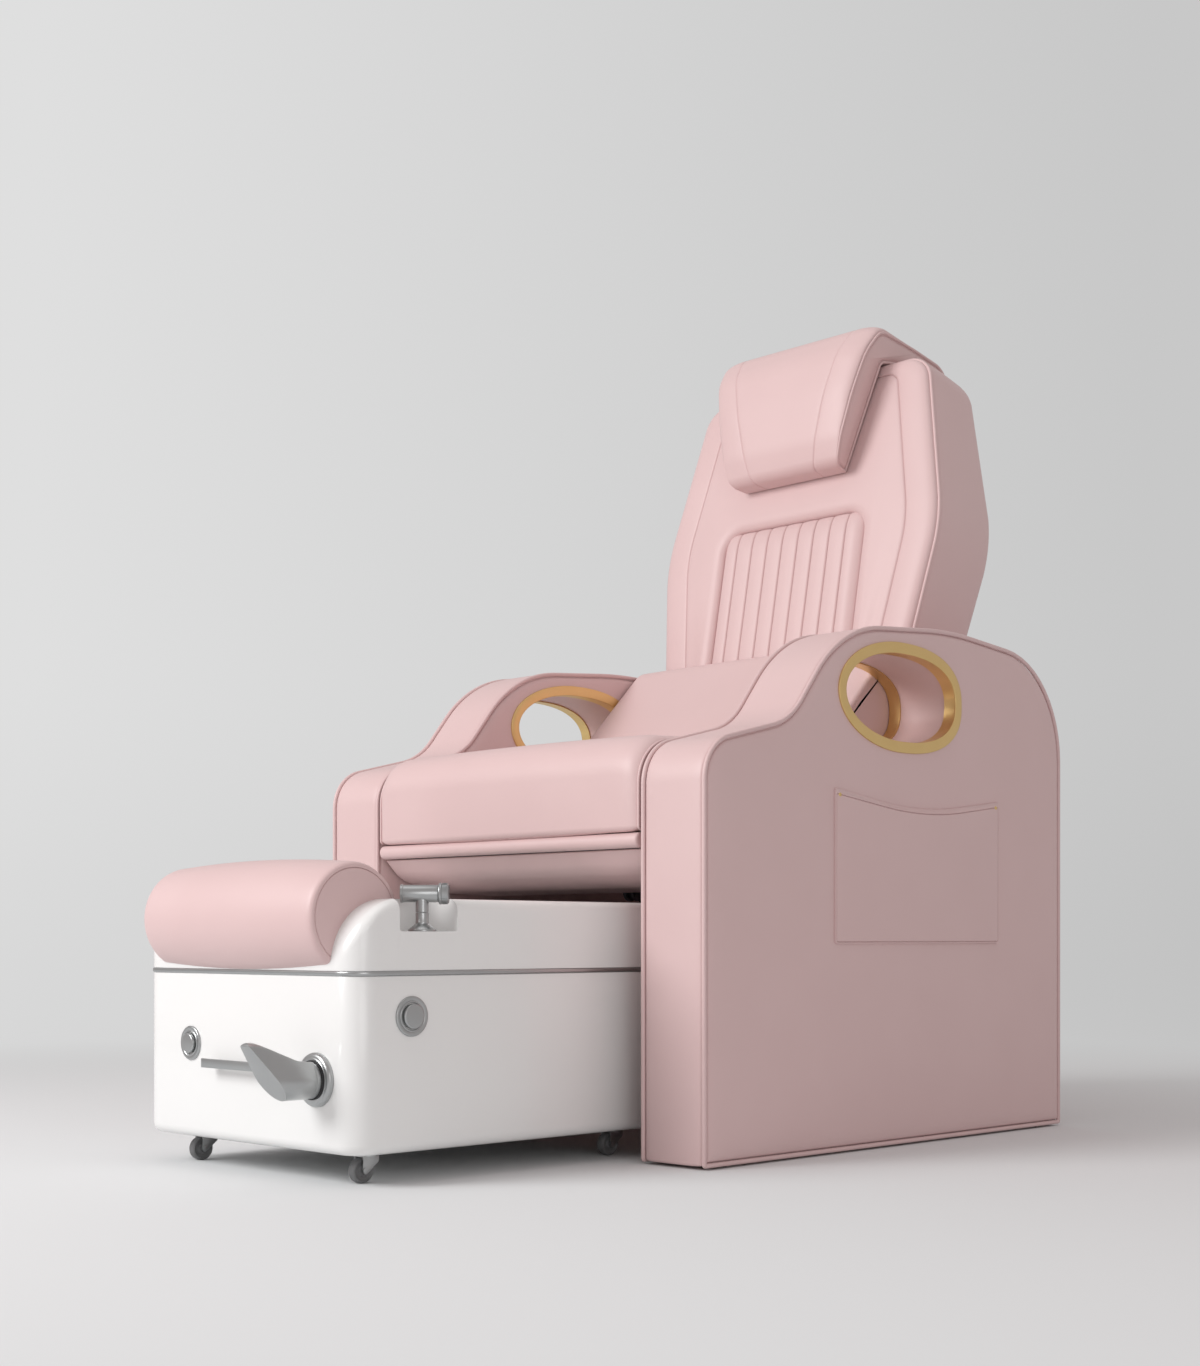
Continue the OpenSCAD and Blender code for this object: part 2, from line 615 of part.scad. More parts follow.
module back_extrude(points, t0, t1)
    translate([0, t1, 0]) rotate([90, 0, 0]) linear_extrude(t1 - t0) polygon(points);
upright_x = waist_w / 2 - 55;
post_t = 62;
guide_low = back_s - 120;
guide_r = post_r + 3;
hollow_outline = [for (v = back_outline) [v[0], min(v[1], shoulder_s + 40), v[2]]];
module back_shell() color(leather) on_back() difference() {
    skin([for (s = shell_stations) back_ring(s)]);
    // The hollow for the frame, open towards the cushion
    back_extrude(rounded(inset(hollow_outline, shell_wall)), cushion_t - 1, back_t - shell_wall);
    translate([-upright_x - 12, cushion_t - 1, 0]) cube([2 * upright_x + 24, 52, back_s - shell_wall - 16]);
    // The actuator's bracket passes through the bottom wall
    translate([-22, hinge_t - 16, back_foot - 1]) cube([44, 58, 60]);
    for (x = [-1, 1]) translate([x * post_gap / 2, post_t, back_s - 60])
        cylinder(r = guide_r + seam_gap, h = 80);
}
module frame_bar(s, h) translate([-upright_x, cushion_t + 6, s]) cube([2 * upright_x, 25, h]);
module back_frame() color(steel) on_back() {
    for (x = [-upright_x, upright_x - 25]) translate([x, cushion_t + 6, back_foot + 20])
        cube([25, 25, back_s - 90 - back_foot]);
    for (s = [back_foot + 20, 300, shoulder_s]) frame_bar(s, 25);
    // The upper bar carries the headrest guides
    difference() {
        translate([-upright_x, cushion_t + 4, guide_low + 10])
            cube([2 * upright_x, 36, 25]);
        for (x = [-1, 1]) translate([x * post_gap / 2, post_t, guide_low])
            cylinder(r = guide_r + 0.02, h = 60);
    }
}

// Depth of the upholstered front: a rolled edge, a padded border, a sewn seam and a crown
border_w = 65;
top_border = 29;
cushion_face = [[0, 9], [10, -1], [border_w / 2, -5], [border_w - 8, -3], [border_w, 2], [border_w + 9, -4],
    [border_w + 60, -back_crown], [400, -back_crown]];
function face_depth(x, s) = let (w = lookup(s, back_widths),
        from_side = w - abs(x), from_top = (back_s - s) * border_w / top_border)
    lookup(max(0, min(from_side, from_top)), cushion_face);
// Columns across the cushion, as distances from its side; rows up it, closer together at the seams
cushion_columns = [0, 4, 12, 24, 44, 57, border_w, 73, 88, border_w + 60];
cushion_rows = concat([back_foot, 60, 180, 260], [for (s = [330:35:750]) s], [790, 830],
    [back_s - top_border - 5, back_s - top_border, back_s - top_border + 6, back_s - 16, back_s - 6, back_s]);
function cushion_ring(s) = let (w = lookup(s, back_widths), middle = (w - border_w - 60) / 2,
        xs = concat([for (c = cushion_columns) w - c], [middle, -middle],
            [for (k = [len(cushion_columns) - 1:-1:0]) cushion_columns[k] - w]))
    concat([for (x = xs) [x, face_depth(x, s), s]], [for (k = [len(xs) - 1:-1:0]) [xs[k], cushion_t, s]]);
rib_foot = 215;
rib_corner_r = 38;
function rib_panel_outline(grow) = let (x = rib_panel_w / 2 + grow, top = rib_panel_top + grow)
    rounded([[-x, rib_foot - grow, 4], [x, rib_foot - grow, 4], [x, top, rib_corner_r],
        [-x, top, rib_corner_r]]);
module back_cushion() color(leather) on_back() difference() {
    skin([for (s = cushion_rows) cushion_ring(s)]);
    back_extrude(rib_panel_outline(seam_gap), -50, cushion_t - 12);
}
// Nine ribs side by side, each a soft arch between two sewn lines
rib_pitch = rib_panel_w / rib_count;
rib_depth = 9;
rib_steps = 4;
function rib_face(x) = let (u = (x + rib_panel_w / 2) / rib_pitch, share = u - floor(u + 0.0001))
    6 - rib_depth * pow(abs(sin(180 * share)), 0.7);
function rib_ring(s, sink) = let (n = rib_count * rib_steps,
        xs = [for (k = [0:n]) rib_panel_w / 2 - rib_panel_w * k / n])
    concat([for (x = xs) [x, rib_face(x) + sink, s]], [for (k = [n:-1:0]) [xs[k], cushion_t - 12.3, s]]);
module back_ribbed_panel() color(leather) on_back() intersection() {
    skin([rib_ring(rib_foot, 6), rib_ring(rib_foot + 8, 0), rib_ring(rib_panel_top - 12, 0),
        rib_ring(rib_panel_top - 4, 2), rib_ring(rib_panel_top, 8)]);
    back_extrude(rib_panel_outline(0), -50, cushion_t);
}
module back_hinge_plates() color(steel) on_back() both_sides() difference() {
    union() {
        translate([hinge_plate_x, hinge_t - 18, -hinge_s]) cube([plate_t, 36, 200]);
        translate([0, hinge_t, -hinge_s]) rod_x(18, hinge_plate_x, hinge_plate_x + plate_t);
    }
    translate([0, hinge_t, -hinge_s])
        rod_x(hinge_r + run_gap, hinge_plate_x - 1, hinge_plate_x + plate_t + 1);
}
// The lever arm: straight below the hinge when the back is upright
drive_t = hinge_t + drive_arm * sin(back_lean);
drive_s = -hinge_s - drive_arm * cos(back_lean);
fork_x = eye_w / 2 + 1.5;
module back_drive_bracket() color(steel) on_back() {
    both_sides() {
        translate([fork_x, drive_t - 12, drive_s]) cube([plate_t, 24, back_foot + 20 - drive_s]);
        translate([0, drive_t, drive_s]) rod_x(12, fork_x, fork_x + plate_t);
    }
    translate([0, drive_t, drive_s]) rod_x(actuator_pin_r, -fork_x - plate_t, fork_x + plate_t);
}

// ---- Headrest ----
module headrest_guides() color(silver) on_back() for (x = [-1, 1])
    translate([x * post_gap / 2, post_t, guide_low]) difference() {
        cylinder(r = guide_r, h = back_s - guide_low);
        translate([0, 0, -1]) cylinder(r = post_r + run_gap, h = back_s - guide_low + 2);
    }
pillow_gap = 4;
post_top = back_s + pillow_gap + 14;
module headrest_posts() color(silver) on_back() {
    for (x = [-1, 1]) translate([x * post_gap / 2, post_t, guide_low - 50])
        cylinder(r = post_r, h = post_top - guide_low + 50);
    translate([0, post_t, post_top]) rod_x(post_r, -post_gap / 2 - 20, post_gap / 2 + 20);
}
pillow_crown = 2;
pillow_in = back_crown + pillow_crown + 0.7;
pillow_out = pillow_in + pillow_t;
pillow_s1 = back_s + pillow_gap + pillow_top_t;
flap_t = 26;
flap_s = back_s - 95;
function shell_depth(s) = lookup(s, back_depths);
pillow_outer = rounded([[-pillow_in, pillow_low_s + 6, 0], [-pillow_out * 0.5, pillow_low_s - 3, 22],
    [-pillow_out - 3, pillow_low_s + 60, 90], [-pillow_out + 1, pillow_s1 - 70, 200],
    [-pillow_out + 26, pillow_s1 - 2, 26], [60, pillow_s1 + 7, 300],
    [back_top_t + flap_t, pillow_s1 + 7, 46], [shell_depth(flap_s) + flap_t + 4, flap_s, 9],
    [shell_depth(flap_s) + 4, flap_s, 0], [0, 0, 0]]);
pillow_inner = rounded([[-pillow_in, pillow_low_s + 14, 0], [-pillow_in, back_s + pillow_gap, 8],
    [back_top_t + pillow_gap, back_s + pillow_gap, top_roll_r + pillow_gap],
    [shell_depth(flap_s) + pillow_gap, flap_s + 8, 0], [0, 0, 0]]);
pillow_widths = [[flap_s - 300, pillow_low_w / 2 - 6], [pillow_low_s, pillow_low_w / 2 - 4],
    [pillow_low_s + 12, pillow_low_w / 2 + 5], [pillow_low_s + 150, pillow_low_w / 2 + 40],
    [back_s - 4, pillow_top_w / 2 - 3], [back_s + 40, pillow_top_w / 2]];
module headrest_pillow() color(leather) on_back() difference() {
    pad(concat(even([for (p = pillow_outer) if (p != [0, 0]) p], 26),
        even([for (k = [len(pillow_inner) - 1:-1:0]) if (pillow_inner[k] != [0, 0]) pillow_inner[k]], 26)),
        pillow_widths, 7, pillow_crown);
    for (x = [-1, 1]) translate([x * post_gap / 2, post_t, back_s])
        cylinder(r = post_r + 0.2, h = post_top - back_s);
    translate([0, post_t, post_top]) rod_x(post_r + 0.2, -post_gap / 2 - 21, post_gap / 2 + 21);
}

// ---- Tub ----
tub_y = -tub_out + tub_l / 2;
basin_w = tub_w - 2 * rim_w;
basin_y = -tub_out + basin_front + basin_l / 2;
basin_r = 60;
basin_roll = 40;
mixer_x = tub_w / 2 - mixer_inset;
front_button_x = tub_w / 2 - front_button_inset;
band_top = band_z + band_h;
faucet_x = tub_w / 2 - faucet_inset;
faucet_y = -tub_out + 135;
recess_y0 = faucet_y - 58;
recess_y1 = recess_y0 + recess_l;
recess_x = faucet_x - 39;
recess_z = tub_h - recess_drop;
recess_r = 30;

module tub_plan(inward)
    translate([0, tub_y]) rounded_rect(tub_w - 2 * inward, tub_l - 2 * inward, tub_r - inward);
module tub_holes() {
    translate([mixer_x, 0, mixer_z]) rod_y(24.2, -tub_out - 1, -tub_out + wall + 1);
    translate([-front_button_x, 0, front_button_z])
        rod_y(front_button_r + 3.3, -tub_out - 1, -tub_out + wall + 1);
    translate([0, -tub_out + side_button_y, side_button_z])
        rod_x(side_button_r + 3.3, tub_w / 2 - wall - 1, tub_w / 2 + 1);
    translate([0, basin_y, tub_low - 1]) cylinder(r = drain_r + 1, h = wall + 3);
}
module tub_lower_shell() color(white_shell) in_place() difference() {
    translate([0, tub_y, tub_low]) tub_block(tub_w, tub_l, band_z - tub_low, tub_r, 12);
    translate([0, tub_y, tub_low + wall + 1])
        tub_block(tub_w - 2 * wall, tub_l - 2 * wall, band_z - tub_low, tub_r - wall, 8);
    tub_holes();
}
module tub_trim_band() color(silver) in_place() difference() {
    translate([0, 0, band_z]) linear_extrude(band_h) tub_plan(-1.5);
    translate([0, 0, band_z - 1]) linear_extrude(band_h + 2) tub_plan(wall);
}
// The rim's own block: the plan, the quarter-round brow at the front, and the rolled long edges
module rim_block(inward) intersection() {
    translate([0, 0, band_top - (inward > 0 ? 1 : 0)]) linear_extrude(tub_h) tub_plan(inward);
    side_plate(rounded([[-tub_out + inward, 200, 0], [tub_l, 200, 0], [tub_l, tub_h - inward, 0],
        [-tub_out + inward, tub_h - inward, brow_r - inward]]), -tub_w, tub_w);
    front_plate(rounded([[-tub_w / 2 + inward, 200, 0], [tub_w / 2 - inward, 200, 0],
        [tub_w / 2 - inward, tub_h - inward, 14], [-tub_w / 2 + inward, tub_h - inward, 14]]), -tub_l, tub_l);
}
// The faucet stands in a recess in the sitter's left wall, open to the side and to the top
module recess(grow) {
    d = recess_y1 - recess_y0 + 2 * grow;
    translate([recess_x - grow, (recess_y0 + recess_y1) / 2, recess_z - grow]) linear_extrude(tub_h) {
        translate([recess_r + grow, -d / 2]) square([120, d]);
        translate([0, -d / 2 + recess_r + grow]) square([120, d - 2 * (recess_r + grow)]);
        for (y = [-1, 1]) translate([recess_r + grow, y * (d / 2 - recess_r - grow)]) circle(recess_r + grow);
    }
}
module tub_top() color(white_shell) in_place() difference() {
    union() {
        difference() {
            rim_block(0);
            rim_block(wall);
        }
        intersection() {
            rim_block(0);
            recess(4);
        }
    }
    recess(0);
    translate([0, basin_y, 0]) linear_extrude(tub_h + 1) rounded_rect(basin_w, basin_l, basin_r);
    translate([faucet_x, faucet_y, recess_z - 5]) cylinder(r = 7.2, h = 10);
}
jet_y = basin_y + basin_l / 2 - 122;
jet_z = basin_z + 90;
module tub_basin() color(white_shell) in_place() difference() {
    union() {
        translate([0, basin_y, basin_z - 4])
            tub_block(basin_w + 8, basin_l + 8, tub_h - wall - basin_z + 3.8, basin_r + 4, basin_roll + 4);
        translate([0, basin_y, tub_h - wall - 5.2]) linear_extrude(5)
            rounded_rect(basin_w + 20, basin_l + 20, basin_r + 10);
    }
    translate([0, basin_y, basin_z]) tub_block(basin_w, basin_l, tub_h, basin_r, basin_roll);
    translate([0, basin_y, basin_z - 5]) cylinder(r = drain_r + 0.3, h = 10);
    translate([0, jet_y, jet_z]) rod_x(9, -basin_w / 2 - 6, -basin_w / 2 + 1);
}
pad_y = -tub_out + 42;
pad_z = tub_h - 26;
pad_edge_r = 9;
pad_swell = 7;
pad_half = tub_w / 2 - pad_inset;
pad_profile = concat([[0, -pad_half]],
    arc_path([pad_d / 2 - pad_edge_r, -pad_half + pad_edge_r], pad_edge_r, -90, 0, 4),
    [for (k = [1:11]) let (x = (pad_half - pad_edge_r) * (k / 6 - 1))
        [pad_d / 2 + pad_swell * (1 - pow(x / pad_half, 2)), x]],
    arc_path([pad_d / 2 - pad_edge_r, pad_half - pad_edge_r], pad_edge_r, 0, 90, 4), [[0, pad_half]]);
module footrest_pad() color(leather) in_place() difference() {
    translate([0, pad_y, pad_z]) rotate([0, 90, 0]) rotate_extrude() polygon(pad_profile);
    // The pad is scooped to sit on the brow of the rim
    side_plate(rounded([[-tub_out - 0.5, 200, 0], [tub_l, 200, 0], [tub_l, tub_h + 0.5, 0],
        [-tub_out - 0.5, tub_h + 0.5, brow_r + 0.5]]), -tub_w, tub_w);
}
// A strainer with a threaded body, a nut under the basin and a tail with a stop collar under the tub's floor
drain_low = 20;
collar_z = 38;
module drain_fitting() color(silver) in_place() translate([0, basin_y, 0]) difference() {
    union() {
        translate([0, 0, drain_low]) cylinder(r = drain_r, h = basin_z - drain_low);
        translate([0, 0, collar_z]) cylinder(r = drain_r + 7, h = tub_low - 0.1 - collar_z);
        translate([0, 0, basin_z - 18]) cylinder(r = drain_r + 8, h = 13.5);
        translate([0, 0, basin_z - 5]) cylinder(r = drain_r + 0.2, h = 6);
        translate([0, 0, basin_z + 0.1]) cylinder(r = drain_r + 12, h = 3);
    }
    translate([0, 0, drain_low - 1]) cylinder(r = drain_r - 3, h = basin_z - drain_low - 3);
    for (a = [0:60:300]) rotate([0, 0, a]) translate([8, 0, basin_z - 6]) cylinder(r = 2.5, h = 14);
}
module jet_pump() color(dark_rubber) in_place() translate([0, jet_y, jet_z]) {
    rod_x(40, -tub_w / 2 + wall + 6, -basin_w / 2 - 4.3);
    rod_x(8.5, -basin_w / 2 - 5, -basin_w / 2 + 1);
    rod_x(46, -basin_w / 2 + 0.3, -basin_w / 2 + 8);
}

// ---- Mixer: escutcheon, gasket, knurled collar and lever on one axis ----
plate_proud = 9;
gasket_t = 2;
collar_t = 9;
collar_front = tub_out + plate_proud + gasket_t + collar_t;
spindle_r = 7;
module on_mixer() in_place() translate([mixer_x, 0, mixer_z]) children();
module mixer_valve() color(silver) on_mixer() {
    rod_y(24, -tub_out, -tub_out + 44);
    rod_y(spindle_r, -collar_front - 12, -tub_out + 1);
    translate([0, -tub_out + 32, 0]) cylinder(r = 8, h = 34);
}
module mixer_escutcheon() color(silver) on_mixer() difference() {
    rotate([90, 0, 0]) rotate_extrude() polygon(concat([[0, tub_out], [37, tub_out], [37, tub_out + 3]],
        arc_path([31, tub_out + 3], 6, 0, 90, 6), [[0, tub_out + plate_proud]]));
    rod_y(spindle_r + 0.3, -tub_out - 20, -tub_out + 1);
}
module mixer_gasket() color("#1d1d1d") on_mixer() difference() {
    rod_y(lever_r + 1.2, -tub_out - plate_proud - gasket_t, -tub_out - plate_proud);
    rod_y(spindle_r + 0.3, -tub_out - 20, -tub_out + 1);
}
module mixer_collar() color(silver) on_mixer() difference() {
    union() {
        rod_y(lever_r - 0.6, -collar_front, -tub_out - plate_proud - gasket_t);
        // Knurls: forty shallow ribs round the collar
        for (a = [0:9:351]) rotate([0, a, 0]) translate([lever_r - 1.1, 0, -0.6])
            translate([0, -collar_front + 2, 0]) cube([1.3, collar_t - 4, 1.2]);
    }
    rod_y(spindle_r + 0.3, -collar_front - 1, -tub_out);
}
tip_r = 13;
tip_up = 41;
// The lever is a cylinder cut off obliquely, whose upper side runs out into a flat tongue
lever_side = rounded([[-collar_front - seam_gap, -lever_r - 1, 0], [-collar_front - seam_gap, lever_r, 0],
    [-tub_out - 44, lever_r + 2, 30], [-tub_out - lever_reach + 4, tip_up + tip_r + 2, 3],
    [-tub_out - lever_reach - 0.9, tip_up + tip_r - 4, 3], [-tub_out - 57, -lever_r - 1, 4]]);
tilt_t = asin((lever_r - tip_r) / tip_up);
lever_section = concat(arc_path([0, 0], lever_r, 180 - tilt_t, 360 + tilt_t, 36),
    arc_path([0, tip_up], tip_r, tilt_t, 180 - tilt_t, 15));
module mixer_lever() color(silver) on_mixer() difference() {
    intersection() {
        side_plate(lever_side, -lever_r - 2, lever_r + 2);
        rotate([90, 0, 0]) linear_extrude(tub_out + lever_reach + 10) polygon(lever_section);
    }
    rod_y(spindle_r + run_gap, -collar_front - 13, -collar_front + 1);
}

// ---- Pull handle and push buttons ----
handle_z = 155.5;
handle_off = 17;
handle_t = 5;
module pull_handle() color(silver) in_place() {
    translate([-handle_l / 2, -tub_out - handle_off - handle_t, handle_z - handle_h / 2])
        cube([handle_l, handle_t, handle_h]);
    for (x = [-1, 1]) translate([x * (handle_l / 2 - 15), 0, handle_z])
        rod_y(4.5, -tub_out - handle_off - 1, -tub_out - 0.05);
}
// A button's bezel and cap, along +Z from the casing's face at z = 0
module bezel(r) difference() {
    union() {
        rotate_extrude() polygon([[0, 0.05], [r + 10, 0.05], [r + 10, 1.6], [r + 8.6, 3], [r + 4.5, 3],
            [r + 3.6, 2.3], [r + 2.6, 3], [0, 3]]);
        translate([0, 0, -26]) cylinder(r = r + 3, h = 27);
    }
    translate([0, 0, -22]) cylinder(r = r + 0.5, h = 30);
}
cap_proud = 8;
module cap(r) rotate_extrude() polygon(concat([[0, -16], [r, -16], [r, cap_proud - 2]],
    arc_path([r - 2, cap_proud - 2], 2, 0, 90, 4), [[0, cap_proud]]));
module at_side_button() in_place() translate([tub_w / 2, -tub_out + side_button_y, side_button_z])
    rotate([0, 90, 0]) children();
module at_front_button() in_place() translate([-front_button_x, -tub_out, front_button_z])
    rotate([90, 0, 0]) children();
module button_bezels() color(silver) {
    at_side_button() bezel(side_button_r);
    at_front_button() bezel(front_button_r);
}
module side_button() color(silver) at_side_button() cap(side_button_r);
module front_button() color(silver) at_front_button() cap(front_button_r);

// ---- Faucet ----
joint_z = recess_z + 26;
spout_z = tub_h + 7;
spout_turn = 45;
module on_faucet() in_place() translate([faucet_x, faucet_y, 0]) children();
module faucet_base() color(silver) on_faucet() {
    translate([0, 0, recess_z + 0.05]) rotate_extrude() polygon([[0, 0], [19.5, 0], [19.5, 2.5], [12, 9],
        [column_r, 10], [column_r, joint_z - recess_z], [0, joint_z - recess_z]]);
    translate([0, 0, recess_z - 22]) cylinder(r = 7, h = 23);
    translate([0, 0, joint_z - 1]) cylinder(r = 4, h = 9);
}
spout_front = 30;
spout_back = 22;
module faucet_head() color(silver) on_faucet() difference() {
    union() {
        translate([0, 0, joint_z + seam_gap]) cylinder(r = column_r, h = spout_z - joint_z - seam_gap);
        rotate([0, 0, spout_turn]) translate([0, 0, spout_z]) {
            rod_x(spout_r, -spout_front, spout_back);
            rod_x(spout_r + 0.8, -spout_front, -spout_front + 4);
        }
    }
    translate([0, 0, joint_z - 1]) cylinder(r = 4 + run_gap, h = 9.5);
    rotate([0, 0, spout_turn]) translate([0, 0, spout_z]) {
        rod_x(spout_r - 2.5, -spout_front - 1, -spout_front + 16);
        rod_x(5 + run_gap, spout_back - 12, spout_back + 1);
    }
}
knob_r = 15;
module faucet_knob() color(silver) on_faucet() rotate([0, 0, spout_turn])
    translate([spout_back + seam_gap, 0, spout_z]) {
        rotate([0, 90, 0]) rotate_extrude() polygon([[0, 0], [knob_r - 2, 0], [knob_r, 2], [knob_r, 4.5],
            [knob_r - 1.2, 5], [knob_r - 1.2, 13], [knob_r - 2.4, 14.5], [0, 14.5]]);
        for (a = [0:12:348]) rotate([a, 0, 0]) translate([5.4, knob_r - 1.6, -0.6]) cube([7, 1.4, 1.2]);
        rod_x(5, -11.5, 1);
    }
// The pipe rises from the mixer, runs across under the rim and turns up into the faucet through two elbows
pipe_r = 6;
elbow_r = 9;
socket_l = 16;
pipe_z = band_z + 22;
pipe_y0 = -tub_out + 32;
pipe_run = norm([faucet_x - mixer_x, faucet_y - pipe_y0]);
module elbow(up) {
    sphere(elbow_r);
    rotate([0, up ? 0 : 180, 0]) cylinder(r = elbow_r - 1, h = socket_l);
    rotate([0, up ? -90 : 90, 0]) cylinder(r = elbow_r - 1, h = socket_l);
}
riser_low = mixer_z + 34.1 - pipe_z;
module supply_pipe() color("#b87333") in_place() translate([mixer_x, pipe_y0, pipe_z])
    rotate([0, 0, atan2(faucet_y - pipe_y0, faucet_x - mixer_x)]) {
        elbow(false);
        translate([pipe_run, 0, 0]) elbow(true);
        rod_x(pipe_r, socket_l - 2, pipe_run - socket_l + 2);
        translate([0, 0, riser_low]) cylinder(r = pipe_r, h = -riser_low - socket_l + 2);
        translate([pipe_run, 0, socket_l - 2])
            cylinder(r = pipe_r, h = recess_z - 22.1 - pipe_z - socket_l + 2);
    }

// ---- Casters ----
axle_z = wheel_d / 2;
fork_top = wheel_d + 3;
swivel_r = 13;
module at_caster(side, end) in_place()
    translate([side * (tub_w / 2 - caster_side), -tub_out + caster_inset + end * caster_base, 0]) children();
module caster_plate() difference() {
    union() {
        translate([-19, -19, tub_low - 2.05]) cube([38, 38, 2]);
        translate([0, 0, fork_top + 0.4]) cylinder(r = swivel_r, h = tub_low - 2 - fork_top - 0.4);
    }
    translate([0, 0, fork_top - 1]) cylinder(r = 4 + run_gap, h = 2.6);
}
module caster_plates() color(silver)
    for (side = [-1, 1], end = [0, 1]) at_caster(side, end) caster_plate();
// A pressed fork: a top plate, two cheeks swept back to the axle, and the riveted axle itself
cheek_t = 2;
module caster_fork() {
    cheek_x = wheel_w / 2 + 1;
    translate([0, 0, fork_top - 2]) cylinder(r = swivel_r, h = 2);
    translate([-cheek_x - cheek_t, -15, fork_top - 2]) cube([2 * (cheek_x + cheek_t), 26, 2]);
    translate([0, 0, fork_top - 1]) cylinder(r = 4, h = 2.5);
    both_sides() side_plate(rounded([[-trail - 5, axle_z - 3, 4], [-trail + 5, axle_z - 3, 4],
        [11, fork_top - 9, 3], [11, fork_top, 0], [-15, fork_top, 0], [-trail - 4, axle_z + 6, 2]]),
        cheek_x, cheek_x + cheek_t);
    translate([0, -trail, axle_z]) {
        rod_x(3, -cheek_x - cheek_t - 1, cheek_x + cheek_t + 1);
        both_sides() rod_x(4.5, cheek_x + cheek_t, cheek_x + cheek_t + 1.5);
    }
}
// One half of the wheel's profile, from the bore to the tread; the other half mirrors it
wheel_half = [[3 + run_gap, wheel_w / 2 - 0.4], [7, wheel_w / 2 - 0.4], [8, wheel_w / 2 - 2],
    [wheel_d / 2 - 4, wheel_w / 2 - 2], [wheel_d / 2 - 3, wheel_w / 2], [wheel_d / 2 - 1.5, wheel_w / 2],
    [wheel_d / 2, wheel_w / 2 - 2.5]];
module caster_wheel() translate([0, -trail, axle_z]) rotate([0, 90, 0]) rotate_extrude() polygon(concat(
    [for (p = wheel_half) [p[0], -p[1]]], [for (k = [len(wheel_half) - 1:-1:0]) wheel_half[k]]));
module caster_fork_front_right() color(silver) at_caster(1, 0) caster_fork();
module caster_fork_front_left() color(silver) at_caster(-1, 0) caster_fork();
module caster_fork_rear_right() color(silver) at_caster(1, 1) caster_fork();
module caster_fork_rear_left() color(silver) at_caster(-1, 1) caster_fork();
module caster_wheel_front_right() color(dark_rubber) at_caster(1, 0) caster_wheel();
module caster_wheel_front_left() color(dark_rubber) at_caster(-1, 0) caster_wheel();
module caster_wheel_rear_right() color(dark_rubber) at_caster(1, 1) caster_wheel();
module caster_wheel_rear_left() color(dark_rubber) at_caster(-1, 1) caster_wheel();

arm_frame_right();
arm_frame_left();
arm_cover_right();
arm_cover_left();
arm_rings_right();
arm_rings_left();
side_pocket();
pocket_rivets();
floor_glides();
seat_frame();
seat_board();
frame_bolts();
seat_cushion();
seat_front_roll();
seat_apron();
lumbar_cushion();
rear_panel();
hinge_brackets();
hinge_pins();
actuator_barrel();
actuator_rod();
back_frame();
back_shell();
back_cushion();
back_ribbed_panel();
back_hinge_plates();
back_drive_bracket();
headrest_guides();
headrest_posts();
headrest_pillow();
tub_lower_shell();
tub_trim_band();
tub_top();
tub_basin();
footrest_pad();
drain_fitting();
jet_pump();
mixer_valve();
mixer_escutcheon();
mixer_gasket();
mixer_collar();
mixer_lever();
pull_handle();
button_bezels();
side_button();
front_button();
faucet_base();
faucet_head();
faucet_knob();
supply_pipe();
caster_plates();
caster_fork_front_right();
caster_fork_front_left();
caster_fork_rear_right();
caster_fork_rear_left();
caster_wheel_front_right();
caster_wheel_front_left();
caster_wheel_rear_right();
caster_wheel_rear_left();
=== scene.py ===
import math

import bmesh
import bpy
from mathutils import Matrix, Vector


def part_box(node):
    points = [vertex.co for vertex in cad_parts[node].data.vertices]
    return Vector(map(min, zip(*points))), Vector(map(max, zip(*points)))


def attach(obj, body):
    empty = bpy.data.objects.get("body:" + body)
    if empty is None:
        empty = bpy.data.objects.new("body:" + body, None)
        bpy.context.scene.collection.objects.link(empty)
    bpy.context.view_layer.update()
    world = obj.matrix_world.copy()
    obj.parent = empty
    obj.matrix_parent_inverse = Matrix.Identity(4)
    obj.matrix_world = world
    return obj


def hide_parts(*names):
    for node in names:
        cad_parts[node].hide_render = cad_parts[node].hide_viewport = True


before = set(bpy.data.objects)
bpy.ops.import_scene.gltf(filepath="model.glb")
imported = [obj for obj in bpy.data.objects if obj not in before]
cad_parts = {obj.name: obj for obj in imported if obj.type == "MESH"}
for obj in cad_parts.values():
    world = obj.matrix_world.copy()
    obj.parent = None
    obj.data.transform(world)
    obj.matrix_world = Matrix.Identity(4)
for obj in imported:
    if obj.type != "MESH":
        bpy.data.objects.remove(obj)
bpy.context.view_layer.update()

# ---- Arms: upholstery ----
# Each arm is a plywood box padded with foam and covered with smooth pink leather.
# Two side panels are sewn to the band between them with a piping along both edges,
# and a lined oval tunnel runs right through under the armrest.

# Every piece is drawn in millimetres, with y = 0 at the front of the arms
arm_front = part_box("arm_cover_right")[0].y
IN_CHAIR = Matrix.Translation((0, arm_front, 0)) @ Matrix.Scale(0.001, 4)
SIDES = ((1, "right"), (-1, "left"))

# Corners of an arm seen from the side: back, up, radius
ARM = [(0, 3, 6), (953, 3, 6), (953, 819, 190), (610, 846, 900), (320, 822, 240),
       (194, 665, 120), (0, 618, 72)]
ARM_OUTER = 440
ARM_INNER = 310
ARM_PIPING = 3.6
PIPING_IN = 4.7

# The tunnel: its middle, half sizes and squareness, and the stations of its lining
OVAL_Y = 473
OVAL_Z = 720
OVAL_LONG = 165
OVAL_HIGH = 88.5
OVAL_SQUARE = 2.45
LINING_IN = 15.6
LINING_STATIONS = (440, 436, 400, 350, 314, 310)


